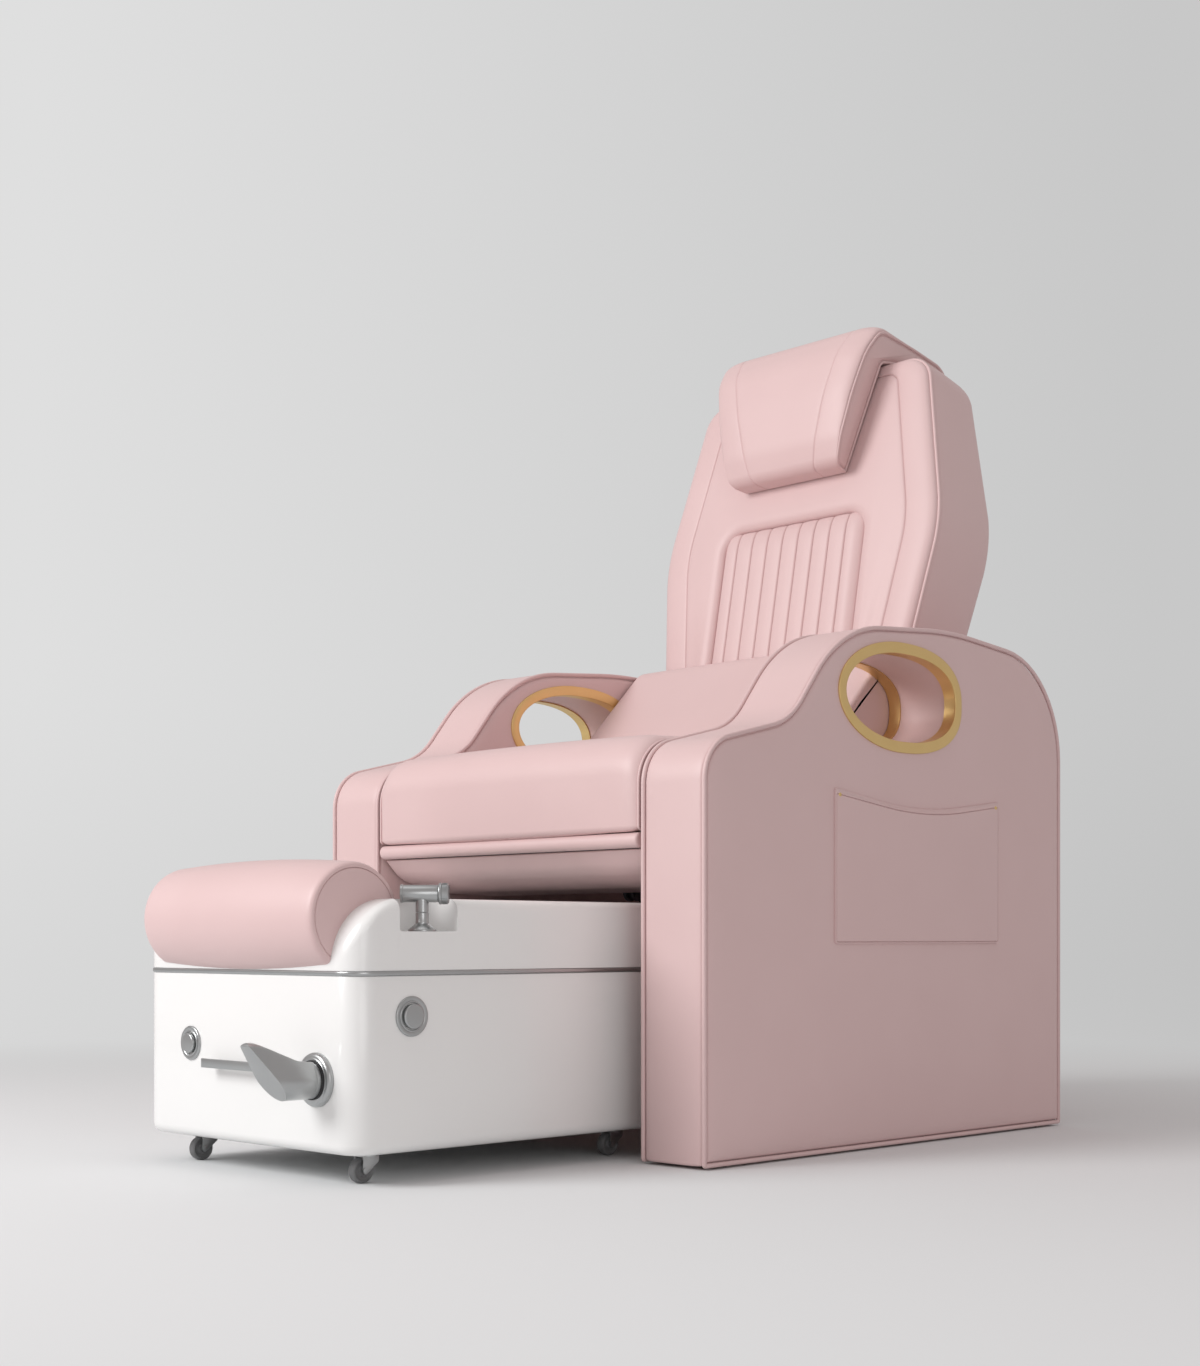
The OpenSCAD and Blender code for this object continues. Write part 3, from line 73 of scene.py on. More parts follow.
class Socket:
    """An output of a material's node, with the arithmetic that the finishes use."""

    def __init__(self, tree, out):
        self.tree = tree
        self.out = out

    def node(self, kind, settings, inputs, output=0):
        made = self.tree.nodes.new("ShaderNode" + kind)
        for name, value in settings.items():
            setattr(made, name, value)
        for name, value in inputs.items():
            if isinstance(value, Socket):
                self.tree.links.new(value.out, made.inputs[name])
            else:
                made.inputs[name].default_value = value
        return Socket(self.tree, made.outputs[output])

    def __add__(self, other):
        return self.node("Math", {"operation": "ADD"}, {0: self, 1: other})

    __radd__ = __add__

    def __mul__(self, other):
        return self.node("Math", {"operation": "MULTIPLY"}, {0: self, 1: other})

    __rmul__ = __mul__

    def noise(self, scale, detail=3.0, roughness=0.5):
        return self.node("TexNoise", {}, {"Vector": self, "Scale": scale, "Detail": detail,
                                          "Roughness": roughness})

    def mix(self, first, second):
        return self.node("Mix", {"data_type": "RGBA"}, {0: self, 6: first, 7: second}, 2)

    def bump(self, strength, distance):
        return self.node("Bump", {}, {"Strength": strength, "Distance": distance, "Height": self})


def finish_of(name, draw, **shader):
    """A material: draw(place) gives the shader's varying inputs, shader its constants."""
    material = bpy.data.materials.new(name)
    material.use_nodes = True
    tree = material.node_tree
    principled = tree.nodes["Principled BSDF"]
    place = Socket(tree, tree.nodes.new("ShaderNodeTexCoord").outputs["Object"])
    for socket, value in draw(place).items():
        tree.links.new(value.out, principled.inputs[socket])
    for socket, value in shader.items():
        principled.inputs[socket.replace("_", " ")].default_value = value
    return material


def linear(red, green, blue):
    """A colour as it is seen, from 0 to 255, as the shader takes it."""
    return tuple(((c / 255 + 0.055) / 1.055) ** 2.4 for c in (red, green, blue)) + (1,)


def leather(name, light, dark):
    """Smooth coated leather: fine pores and creases, and a slightly cloudy tone."""
    def draw(place):
        cloud = place.noise(7, 2)
        pores = place.node("TexVoronoi", {"feature": "SMOOTH_F1"},
                           {"Vector": place, "Scale": 900, "Smoothness": 0.4})
        creases = place.noise(420, 4, 0.6)
        stretch = place.noise(24, 2)
        height = pores * 0.5 + creases * 0.7 + stretch * 1.2
        return {"Base Color": cloud.mix(dark, light),
                "Roughness": 0.40 + creases * 0.08 + cloud * 0.06,
                "Normal": height.bump(0.22, 0.0006)}
    return finish_of(name, draw, Sheen_Weight=0.12, Sheen_Roughness=0.5,
                     Specular_IOR_Level=0.58)


PINK = leather("pink_leather", linear(219, 190, 189), linear(214, 184, 183))


def outline(corners, inward=0.0, steps=12):
    """A closed line through (across, up, radius) corners that run anticlockwise.
    Its sides are moved inward, and each corner becomes an arc of the given number of steps."""
    count = len(corners)
    flat = [Vector(corner[:2]) for corner in corners]
    sides = [(flat[(i + 1) % count] - flat[i]).normalized() for i in range(count)]
    normals = [Vector((-side.y, side.x)) for side in sides]
    moved = [flat[i] + inward * (normals[i - 1] + normals[i])
             / (1 + normals[i - 1].dot(normals[i])) for i in range(count)]
    points = []
    for i, at in enumerate(moved):
        before = moved[i - 1] - at
        after = moved[(i + 1) % count] - at
        half = before.angle(after) / 2
        room = 0.49 * min(before.length, after.length) * math.tan(half)
        bend = 1 if normals[i - 1].cross(normals[i]) > 0 else -1
        radius = min(max(0.4, corners[i][2] - inward * bend), room)
        u = before.normalized()
        v = after.normalized()
        centre = at + (u + v).normalized() * radius / math.sin(half)
        start = at + u * radius / math.tan(half) - centre
        sweep = -start.angle_signed(at + v * radius / math.tan(half) - centre)
        points += [centre + Matrix.Rotation(sweep * k / steps, 2) @ start
                   for k in range(steps + 1)]
    return points


def across(points, x):
    """A line drawn in the side view, set at x."""
    return [Vector((x, p[0], p[1])) for p in points]


def ring(bm, points):
    """A closed line of vertices and edges."""
    verts = [bm.verts.new(p) for p in points]
    return verts, [bm.edges.new((verts[i - 1], verts[i])) for i in range(len(verts))]


def carry(bm, verts, edges, section):
    """Extrudes a closed line of edges to the next section, point by point."""
    made = bmesh.ops.extrude_edge_only(bm, edges=edges)["geom"]
    new = {item for item in made if isinstance(item, bmesh.types.BMVert)}
    verts = [next(v for v in (edge.other_vert(vert) for edge in vert.link_edges) if v in new)
             for vert in verts]
    for vert, p in zip(verts, section):
        vert.co = p
    return verts, [bm.edges.get((verts[i - 1], verts[i])) for i in range(len(verts))]


def loft(bm, sections, capped=True, closed=False):
    """A skin through closed sections in turn. Returns the edges of the first and the last."""
    first_verts, first = verts, edges = ring(bm, sections[0])
    for section in sections[1:] + sections[:1] * closed:
        if len(section) == len(verts):
            verts, edges = carry(bm, verts, edges, section)
        else:
            before = edges
            verts, edges = ring(bm, section)
            bmesh.ops.bridge_loops(bm, edges=before + edges)
    if closed:
        bmesh.ops.remove_doubles(bm, verts=first_verts + verts, dist=0.0001)
    elif capped:
        for end in (first, edges):
            bmesh.ops.contextual_create(bm, geom=end)
    return first, edges


def piece(name, bm, material, body, place=IN_CHAIR, sharp=40, replaces=()):
    """Turns a bmesh into a finished object that rides on a body."""
    bmesh.ops.recalc_face_normals(bm, faces=bm.faces)
    bm.transform(place)
    mesh = bpy.data.meshes.new(name)
    bm.to_mesh(mesh)
    bm.free()
    mesh.materials.append(material)
    mesh.shade_smooth()
    mesh.set_sharp_from_angle(angle=math.radians(sharp))
    obj = bpy.data.objects.new(name, mesh)
    bpy.context.collection.objects.link(obj)
    if replaces:
        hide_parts(*replaces)
    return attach(obj, body)


def piping(name, points, radius, material, body, place=IN_CHAIR):
    """A cord sewn into an edge: a round section swept along a closed line."""
    curve = bpy.data.curves.new(name, "CURVE")
    curve.dimensions = "3D"
    curve.bevel_depth = radius
    curve.bevel_resolution = 3
    spline = curve.splines.new("POLY")
    spline.points.add(len(points) - 1)
    for at, p in zip(spline.points, points):
        at.co = (*p, 1)
    spline.use_cyclic_u = True
    sweep = bpy.data.objects.new(name + "_path", curve)
    bpy.context.collection.objects.link(sweep)
    bm = bmesh.new()
    bm.from_mesh(sweep.evaluated_get(bpy.context.evaluated_depsgraph_get()).to_mesh())
    bpy.data.objects.remove(sweep)
    bmesh.ops.remove_doubles(bm, verts=bm.verts, dist=0.02)
    return piece(name, bm, material, body, place, sharp=80)


def oval(grow, step=4):
    """The arm opening's outline: rounder at its front, squarer at its back."""
    points = []
    for degrees in range(0, 360, step):
        c = math.cos(math.radians(degrees))
        s = math.sin(math.radians(degrees))
        square = 2 / OVAL_SQUARE if c > 0 else 1
        points.append(Vector((OVAL_Y + (OVAL_LONG + grow) * math.copysign(abs(c) ** square, c),
                              OVAL_Z + (OVAL_HIGH + grow) * math.copysign(abs(s) ** square, s))))
    return points


# The leather from the outer face to its middle, as (inward, across): the panel puffs out
# inside the piping, dips under it, and the band between the pipings is padded flat
ARM_EDGE = [(34, 440), (24, 439.8), (17, 439.3), (12.5, 438.3), (10.2, 437), (9, 435.4),
            (8.3, 433.2), (7.4, 431.8), (5.6, 431), (4, 430), (2.8, 427), (2.1, 422), (1.7, 412),
            (1.6, 396), (1.6, 375)]
ARM_STATIONS = ARM_EDGE + [(inward, ARM_OUTER + ARM_INNER - x) for inward, x in ARM_EDGE[-2::-1]]

for side, label in SIDES:
    bm = bmesh.new()
    skin = [across(outline(ARM, inward), side * x) for inward, x in ARM_STATIONS]
    outer, inner = loft(bm, skin, capped=False)
    lining = [across(oval(-LINING_IN), side * x) for x in LINING_STATIONS]
    mouths = loft(bm, lining, capped=False)
    for face, mouth in ((outer, mouths[0]), (inner, mouths[1])):
        bmesh.ops.triangle_fill(bm, edges=face + mouth, use_beauty=True)
    cover = piece(f"arm_leather_{label}", bm, PINK, "chair", replaces=[f"arm_cover_{label}"])
    for edge, x in (("outer", ARM_OUTER - PIPING_IN), ("inner", ARM_INNER + PIPING_IN)):
        piping(f"arm_piping_{edge}_{label}", across(outline(ARM, ARM_PIPING), side * x),
               ARM_PIPING, PINK, "chair")

# ---- Arms: gold rings ----
# A flat oval ring frames each mouth of the tunnels. It is cast in one piece with the sleeve
# that holds it in the lining, brushed along its face and plated gold.
GOLD_BAND = 18
GOLD_PROUD = 3
SLEEVE_DEPTH = 20
SLEEVE_WALL = 2.2


def gold_finish():
    """Gold plate with a fine brushed grain along the ring."""
    def draw(place):
        brushed = place.node("Mapping", {}, {"Vector": place, "Scale": (40, 900, 900)}).noise(1, 2)
        cloud = place.noise(20, 2)
        return {"Base Color": cloud.mix(linear(228, 198, 136), linear(234, 205, 144)),
                "Roughness": 0.34 + brushed * 0.1,
                "Normal": brushed.bump(0.05, 0.0002)}
    return finish_of("gold_plate", draw, Metallic=1.0)


GOLD = gold_finish()
# A ring cut through, as (growth of the oval, height above the leather): face, then sleeve
RING_SECTION = [(0, 0), (0, 2.2), (-0.25, 2.7), (-0.8, GOLD_PROUD), (0.8 - GOLD_BAND, GOLD_PROUD),
                (0.25 - GOLD_BAND, 2.7), (-GOLD_BAND, 2.2), (-GOLD_BAND, -1),
                (-GOLD_BAND, -SLEEVE_DEPTH), (SLEEVE_WALL - GOLD_BAND, -SLEEVE_DEPTH),
                (SLEEVE_WALL - GOLD_BAND, -0.02), (-6, -0.02)]
for side, label in SIDES:
    bm = bmesh.new()
    for face, away in ((ARM_OUTER, 1), (ARM_INNER, -1)):
        loft(bm, [across(oval(grow, 3), side * (face + away * x)) for grow, x in RING_SECTION],
             closed=True)
    piece(f"gold_rings_{label}", bm, GOLD, "chair", replaces=[f"arm_rings_{label}"])

# ---- Side pocket ----
# A flat leather pocket on the arm's outer side, sewn down on three edges. Its open edge is
# turned over into a hem that sags between two gold rivets, and its middle stands off the arm.
POCKET_EDGE = [(298, 325, 6), (748, 325, 6), (748, 566, 3), (523, 537, 900), (298, 566, 3)]
POCKET_SEAM = [(301, 328, 4), (745, 328, 4), (745, 557, 3), (523, 528, 900), (301, 557, 3)]
POCKET_Y = 523
POCKET_HALF = 225
POCKET_Z = 325
POCKET_HIGH = 215
POCKET_SWELL = 7


def pocket_panel(inward, proud):
    """A ring of the panel inside the seam: it swells towards its middle and its open edge."""
    points = []
    for p in outline(POCKET_SEAM, inward):
        along = (p.x - POCKET_Y) / POCKET_HALF
        rise = min(1, (p.y - POCKET_Z) / POCKET_HIGH)
        swell = POCKET_SWELL * max(0, 1 - along * along) * math.sin(rise * math.pi / 2)
        points.append(Vector((ARM_OUTER + proud + swell, p.x, p.y)))
    return points


bm = bmesh.new()
rings = [across(outline(POCKET_EDGE, inward), ARM_OUTER + proud)
         for inward, proud in ((0, 0.1), (0, 2.4), (0.5, 3.2))]
rings += [pocket_panel(inward, proud)
          for inward, proud in ((-1, 3.3), (-0.5, 2.6), (0, 1), (0.5, 2.6), (1.2, 3.3), (3, 3.6),
                                (10, 3.8), (30, 3.8), (55, 3.8), (80, 3.8), (95, 3.8))]
back_ring, front_ring = loft(bm, rings, capped=False)
bmesh.ops.triangle_fill(bm, edges=front_ring, use_beauty=True)
bmesh.ops.triangle_fill(bm, edges=back_ring, use_beauty=True)
piece("pocket_leather", bm, PINK, "chair", sharp=50, replaces=["side_pocket"])


def turned(bm, profile, steps=64):
    """Spins a (radius, height) profile round the Z axis."""
    verts = [bm.verts.new((r, 0, h)) for r, h in profile]
    edges = [bm.edges.new(pair) for pair in zip(verts, verts[1:])]
    bmesh.ops.spin(bm, geom=verts + edges, cent=(0, 0, 0), axis=(0, 0, 1), angle=math.tau,
                   steps=steps, use_merge=True)
    bmesh.ops.remove_doubles(bm, verts=bm.verts, dist=0.01)


def dome(radius, height, edge, steps=5):
    """Profile of a button or rivet: a flat top that rolls over into a straight side."""
    roll = [(radius - edge + edge * math.cos(a), height - edge + edge * math.sin(a))
            for a in (math.radians(90 * k / steps) for k in range(steps + 1))]
    return [(radius, 0)] + roll + [(0, height)]


# Two domed rivets hold the corners of the pocket's open edge
RIVET_Z = 555.5
SIDEWAYS = Matrix.Rotation(math.pi / 2, 4, "Y")
for end, y in (("front", 308.5), ("rear", 737.5)):
    bm = bmesh.new()
    turned(bm, [(0, 0)] + dome(3.6, 2, 1.6), steps=32)
    seated = Matrix.Translation((ARM_OUTER + 2.6, y, RIVET_Z)) @ SIDEWAYS
    piece(f"pocket_rivet_{end}", bm, GOLD, "chair", IN_CHAIR @ seated,
          replaces=["pocket_rivets"] if end == "front" else [])

# ---- Inside the arms and under them ----
# The box cores are birch plywood. They stand on rubber glides, and shoulder bolts of zinc-plated
# steel fix the side rails of the seat frame to them.


def plywood_finish():
    """Pale birch with a long grain and short flecks."""
    def draw(place):
        grain = place.node("Mapping", {}, {"Vector": place, "Scale": (60, 4, 60)}).noise(1, 6, 0.6)
        flecks = place.node("Mapping", {}, {"Vector": place, "Scale": (300, 25, 300)}).noise(1, 3)
        tone = grain * 0.7 + flecks * 0.3
        return {"Base Color": tone.mix(linear(186, 152, 110), linear(226, 198, 158)),
                "Roughness": 0.55 + flecks * 0.2,
                "Normal": tone.bump(0.25, 0.0006)}
    return finish_of("birch_plywood", draw)


def metal_finish(name, light, dark, rough, spread):
    """A metal whose tone and gloss wander a little, with fine wear in its polish."""
    def draw(place):
        cloud = place.noise(18, 3)
        wear = place.noise(260, 4, 0.65)
        return {"Base Color": cloud.mix(dark, light),
                "Roughness": rough + spread * wear,
                "Normal": wear.bump(0.06, 0.0002)}
    return finish_of(name, draw, Metallic=1.0)


def matt_finish(name, light, dark, rough, grain):
    """Rubber, powder coat or moulded plastic with a fine even texture."""
    def draw(place):
        texture = place.noise(grain, 3, 0.6)
        cloud = place.noise(15, 2)
        return {"Base Color": cloud.mix(dark, light),
                "Roughness": rough + texture * 0.15,
                "Normal": texture.bump(0.3, 0.0003)}
    return finish_of(name, draw)


def dress(nodes, material):
    """Gives CAD nodes their finish."""
    for name in nodes:
        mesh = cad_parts[name].data
        mesh.materials.clear()
        mesh.materials.append(material)


PLYWOOD = plywood_finish()
ZINC = metal_finish("zinc_plate", linear(176, 179, 180), linear(158, 161, 163), 0.3, 0.2)
RUBBER = matt_finish("black_rubber", linear(52, 52, 54), linear(44, 44, 46), 0.6, 500)
dress(["arm_frame_right", "arm_frame_left"], PLYWOOD)
dress(["floor_glides"], RUBBER)
dress(["frame_bolts"], ZINC)

# ---- Seat ----
# A foam block in smooth leather fills the space between the arms, rounded over at its front.
# It lies on a plywood board in a welded, powder-coated steel frame. Under its front edge are
# a thin upholstered roll and a leather-covered board bent like a keel.
POWDER_COAT = matt_finish("grey_powder_coat", linear(92, 95, 99), linear(84, 87, 91), 0.42, 700)
dress(["seat_frame"], POWDER_COAT)
dress(["seat_board"], PLYWOOD)

SEAT_HALF = 307
SEAT = [(-3, 492.5, 9), (602, 493, 10), (602, 641, 16), (150, 646, 320), (-6, 639, 62)]
SEAT_ENDS = [(0, 492.5, 8), (602, 493, 10), (602, 637, 16), (150, 641, 320), (0, 631, 84)]
SEAT_FALL = 52
SEAT_PIPING = 2.2


def stuffed_stations(half_width, roll, crown):
    """(x, inward) stations of a stuffed form: ends rolled in, the middle swollen."""
    stations = [(half_width - 0.4, roll + 6)]
    for degrees in (0, 18, 36, 54, 72, 90):
        turn = math.radians(degrees)
        stations.append((half_width - roll * (1 - math.cos(turn)), roll * (1 - math.sin(turn))))
    for share in (0.92, 0.8, 0.6, 0.4, 0.2, 0):
        stations.append(((half_width - roll) * share, -crown * (1 - share * share)))
    return stations + [(-x, inward) for x, inward in stations[-2::-1]]


def stuffed(name, node, corners, half_width, roll, crown):
    """A cushion between the arms: its side view carried from end to end."""
    bm = bmesh.new()
    loft(bm, [across(outline(corners, inward), x)
              for x, inward in stuffed_stations(half_width, roll, crown)])
    cushion = piece(name, bm, PINK, "chair", sharp=60, replaces=[node])


def between(a, b, share):
    """The line a share of the way from line a to line b."""
    return [p.lerp(q, share) for p, q in zip(a, b)]


# The cushion is full across its middle and falls off to flatter ends beside the arms
bm = bmesh.new()
rings = []
# From an end to the middle, as (distance from the end, inward)
SEAT_ROLL = [(2.4, 12), (2.4, 7), (3.6, 5.8), (5, 4.7), (8, 3.2), (12, 1.8), (17, 0.8), (23, 0.2),
             (29, 0), (35, 0), (41, 0), (47, 0), (SEAT_FALL, 0), (90, -0.6), (150, -1.6),
             (230, -2.3), (SEAT_HALF, -2.5)]
stations = [(SEAT_HALF - end, inward) for end, inward in SEAT_ROLL]
for x, inward in stations + [(-x, inward) for x, inward in stations[-2::-1]]:
    fallen = max(0, abs(x) - SEAT_HALF + SEAT_FALL) / SEAT_FALL
    full = math.sqrt(1 - min(1, fallen) ** 2)
    rings.append(across(between(outline(SEAT_ENDS, inward), outline(SEAT, inward), full), x))
loft(bm, rings)
for side, label in SIDES:
    end = side * (SEAT_HALF - SEAT_PIPING)
    piping(f"seat_piping_{label}", across(outline(SEAT_ENDS, 3.4), end), SEAT_PIPING, PINK, "chair")
seat = piece("seat_leather", bm, PINK, "chair", sharp=60, replaces=["seat_cushion"])
FRONT_ROLL = [(-2, 468.2, 11.4), (21, 468.2, 11.4), (21, 491.2, 11.4), (-2, 491.2, 11.4)]
stuffed("front_roll_leather", "seat_front_roll", FRONT_ROLL, SEAT_HALF - 3, 4, 0)
APRON = [(12, 467.6, 2), (44, 434, 70), (130, 413.5, 90), (250, 409.8, 2), (250, 423.8, 2),
         (128, 427.8, 76), (54, 443, 56), (33, 467.6, 2)]
stuffed("apron_leather", "seat_apron", APRON, SEAT_HALF - 3, 2.2, 0)

# ---- Lumbar cushion and rear panel ----
# A smooth foam wedge on the back of the seat supports the small of the back. The rear panel,
# plywood wrapped in the same leather, closes the gap between the arms.
LUMBAR_LOW = 652.5
LUMBAR_TOP = 850
LUMBAR_GAP = 16.3
BACK_LEAN = math.radians(10.76)
BACK_Y = 633
BACK_Z = 520


def lumbar_rear(z):
    """How far back the lumbar cushion reaches at a height: just short of the leaning back."""
    return BACK_Y + (z - BACK_Z) * math.tan(BACK_LEAN) - LUMBAR_GAP


LUMBAR = [(452, LUMBAR_LOW, 4), (lumbar_rear(LUMBAR_LOW), LUMBAR_LOW, 8),
          (lumbar_rear(LUMBAR_TOP), LUMBAR_TOP, 10), (640, 849.5, 150), (452, 662, 6)]
stuffed("lumbar_leather", "lumbar_cushion", LUMBAR, SEAT_HALF - 1, 8, 2.5)
bm = bmesh.new()
PANEL_HALF = 309.6
PANEL_ROLL = 2
REAR_PANEL = [(905, 25, 6), (923, 25, 6), (923, 525, 8), (905, 525, 8)]
panel_half = [(PANEL_ROLL, PANEL_HALF), (0, PANEL_HALF - PANEL_ROLL)]
panel_stations = [(inward, -x) for inward, x in panel_half] + panel_half[::-1]
loft(bm, [across(outline(REAR_PANEL, inward), x) for inward, x in panel_stations])
piece("rear_panel_leather", bm, PINK, "chair", replaces=["rear_panel"])

# ---- Recline hinge and actuator ----
# The back turns on two zinc-plated pins in powder-coated steel brackets. An electric linear
# actuator tilts it: a black plastic barrel, and a bright steel rod that slides out of it.
BLACK_PLASTIC = matt_finish("black_plastic", linear(48, 48, 50), linear(40, 40, 42), 0.42, 900)
BRIGHT_STEEL = metal_finish("bright_steel", linear(205, 206, 207), linear(188, 190, 191), 0.14,
                            0.12)
dress(["hinge_brackets", "back_hinge_plates", "back_drive_bracket"], POWDER_COAT)
dress(["hinge_pins"], ZINC)
dress(["actuator_barrel"], BLACK_PLASTIC)
dress(["actuator_rod"], BRIGHT_STEEL)

# ---- Backrest front ----
# The leaning back has a steel ladder frame. Its front is one padded leather cover with a sewn
# border line inside the edge and an opening for the ribbed panel. A piping joins it to the shell.
dress(["back_frame"], POWDER_COAT)
ON_BACK = IN_CHAIR @ Matrix.Translation((0, BACK_Y, BACK_Z)) @ Matrix.Rotation(-BACK_LEAN, 4, "X")

# Corners in the leaning frame: across, along the back, radius. The depth t runs backwards.
BACK = [(-290, -60, 12), (290, -60, 12), (290, 325, 60), (327, 564, 300), (260, 881, 55),
        (-260, 881, 55), (-327, 564, 300), (-290, 325, 60)]
BORDER = [(-225, -30, 12), (225, -30, 12), (228, 328, 60), (262, 567, 260), (202, 853, 26),
          (-202, 853, 26), (-262, 567, 260), (-228, 328, 60)]
CHANNEL_HALF = 166.6
CHANNEL_LOW = 205
CHANNEL_TOP = 601
CHANNELS = [(-CHANNEL_HALF, CHANNEL_LOW, 4), (CHANNEL_HALF, CHANNEL_LOW, 4),
            (CHANNEL_HALF, CHANNEL_TOP, 42), (-CHANNEL_HALF, CHANNEL_TOP, 42)]


def on_face(points, t):
    """A line drawn on the leaning front, set at depth t."""
    return [Vector((p[0], t, p[1])) for p in points]


def evenly(points, count):
    """A closed line cut again into equal steps, starting under its middle."""
    start = min(range(len(points)), key=lambda i: (round(points[i].y, 1), abs(points[i].x)))
    line = points[start:] + points[:start + 1]
    lengths = [(q - p).length for p, q in zip(line, line[1:])]
    step = sum(lengths) / count
    made = []
    run = 0.0
    for p, q, length in zip(line, line[1:], lengths):
        while len(made) < count and len(made) * step <= run + length:
            made.append(p.lerp(q, (len(made) * step - run) / max(length, 1e-9)))
        run += length
    return made


def front_sections():
    """The front cover from its piping inwards: border roll, seam, crown and channel recess."""
    edge = outline(BACK, 3.2)
    seam = outline(BORDER)
    rows = [(0.0, 8.5), (0.015, 4.5), (0.05, 1), (0.11, -1.6), (0.25, -4.4), (0.45, -5.8),
            (0.7, -6.2), (0.9, -5.7), (0.96, -5.3), (0.982, -4.7)]
    sections = [on_face(between(edge, seam, share), t) for share, t in rows]
    for inward, t in ((0, -3), (1.1, -4.8), (3, -5.8), (9, -6.6), (17, -7.4), (30, -8.6)):
        sections.append(on_face(outline(BORDER, inward), t))
    inner = evenly(outline(BORDER, 30), 160)
    rim = evenly(outline(CHANNELS, -22), 160)
    for share, t in ((0.3, -9.8), (0.6, -10.6), (0.85, -11)):
        sections.append(on_face(between(inner, rim, share), t))
    for inward, t in ((-22, -11.2), (-17, -10.9), (-12, -10), (-7.5, -8.4), (-4, -6),
                      (-1.6, -3.4), (-0.4, -0.6), (0, 3), (0, 22)):
        sections.append(on_face(outline(CHANNELS, inward), t))
    return sections


bm = bmesh.new()
loft(bm, front_sections() + [on_face(outline(CHANNELS, -30), 40), on_face(outline(BACK, 8), 40),
                             on_face(outline(BACK, 4), 12)], closed=True)
front = piece("back_front_leather", bm, PINK, "back", ON_BACK, sharp=70,
              replaces=["back_cushion"])
piping("back_piping", on_face(outline(BACK, 2.2), 9.5), 3.3, PINK, "back", ON_BACK)

# ---- Ribbed panel ----
# Nine channels are sewn through a foam sheet in leather. It fills the opening of the front
# cover from behind, with its edges pulled down and stapled to the frame.
RIBS = 9
RIB_HALF = CHANNEL_HALF - 0.2
RIB_WIDTH = 2 * RIB_HALF / RIBS
RIB_FACE = -11.5
RIB_BACK = 22
RIB_SINK = 14

# Half of one rib, as (share of its width from the seam, depth): a stitched crease, a soft arch
RIB_CREASE = [(0, 5), (0.018, 2.6), (0.045, 1.3), (0.1, 0.5), (0.18, 0.1), (0.3, -0.3),
              (0.42, -0.55)]
RIB = RIB_CREASE + [(0.5, -0.6)] + [(1 - share, depth) for share, depth in RIB_CREASE[:0:-1]]


def pulled(away, roll):
    """How deep an edge is pulled down at a distance from it, over a quarter turn."""
    turn = max(0.0, 1 - max(0.0, away) / roll)
    return RIB_SINK * (1 - math.sqrt(1 - turn * turn))


def rib_row(s):
    """The panel cut across at a height, with its back as two corners."""
    face = RIB_FACE + pulled(CHANNEL_TOP - s, 46)
    row = []
    for k in range(RIBS):
        for share, depth in RIB:
            x = (k + share) * RIB_WIDTH - RIB_HALF
            crease = depth * min(1, (RIB_HALF - abs(x)) / 6)
            row.append(Vector((x, face + crease + pulled(RIB_HALF - abs(x), 30), s)))
    row.append(Vector((RIB_HALF, face + RIB_SINK, s)))
    return row + [Vector((RIB_HALF, RIB_BACK, s)), Vector((-RIB_HALF, RIB_BACK, s))]


bm = bmesh.new()
loft(bm, [rib_row(s) for s in (206, 400, 540, 556, 566, 575, 582, 588, 593, 597, 600, 600.9)])
channels = piece("back_channels_leather", bm, PINK, "back", ON_BACK, sharp=75,
                 replaces=["back_ribbed_panel"])

# ---- Backrest shell ----
# One leather cover, made of a side gusset and a rear panel, is stretched over the steel frame
# and tucked in behind the piping.
SHELL_ROLL = 24
SHELL_CUTS = 14
# Depth of the rear cover behind the front face, as (height, depth): it tapers above the shoulders
SHELL_DEPTHS = [(-100, 171), (330, 171), (440, 180), (690, 181), (776, 171), (810, 163),
                (849, 150), (881, 132), (990, 132)]


def value_at(table, s):
    """A value that runs straight from row to row of a (height, value) table."""
    return next(lower + (upper - lower) * (s - s0) / (s1 - s0)
                for (s0, lower), (s1, upper) in zip(table, table[1:]) if s <= s1)


def shell_section(inward, t):
    """A line round the shell; past the gusset, t is measured back from the rear cover."""
    return [Vector((p.x, value_at(SHELL_DEPTHS, p.y) + t if t <= 0 else t, p.y))
            for p in outline(BACK, inward)]


bm = bmesh.new()
stations = [(9, 20), (5, 14), (2.4, 13), (0.9, 14.6), (0, 18), (-1, 30), (-1.6, 60)]
for degrees in (0, 15, 30, 45, 60, 75, 90):
    turn = math.radians(degrees)
    stations.append((SHELL_ROLL * (1 - math.cos(turn)), -SHELL_ROLL * (1 - math.sin(turn))))
stations += [(52, -0.2), (54, -1.4), (56, -0.2), (75, 0)]
loft(bm, [shell_section(inward, t) for inward, t in stations])
# The rear cover is cut into strips, which then follow the taper
for k in range(1, SHELL_CUTS):
    rear = [f for f in bm.faces if f.calc_center_median().y > 100 and abs(f.normal.y) > 0.7]
    corners = dict.fromkeys(v for f in rear for v in f.verts)
    borders = dict.fromkeys(e for f in rear for e in f.edges)
    bmesh.ops.bisect_plane(bm, geom=rear + list(borders) + list(corners), plane_no=(0, 0, 1),
                           plane_co=(0, 0, BACK[0][1] + (BACK[4][1] - BACK[0][1]) * k / SHELL_CUTS))
for vert in bm.verts:
    if vert.co.y > 100 and abs(vert.co.x) < 215 and 20 < vert.co.z < 800:
        vert.co.y = value_at(SHELL_DEPTHS, vert.co.z)
shell = piece("back_shell_leather", bm, PINK, "back", ON_BACK, sharp=60, replaces=["back_shell"])

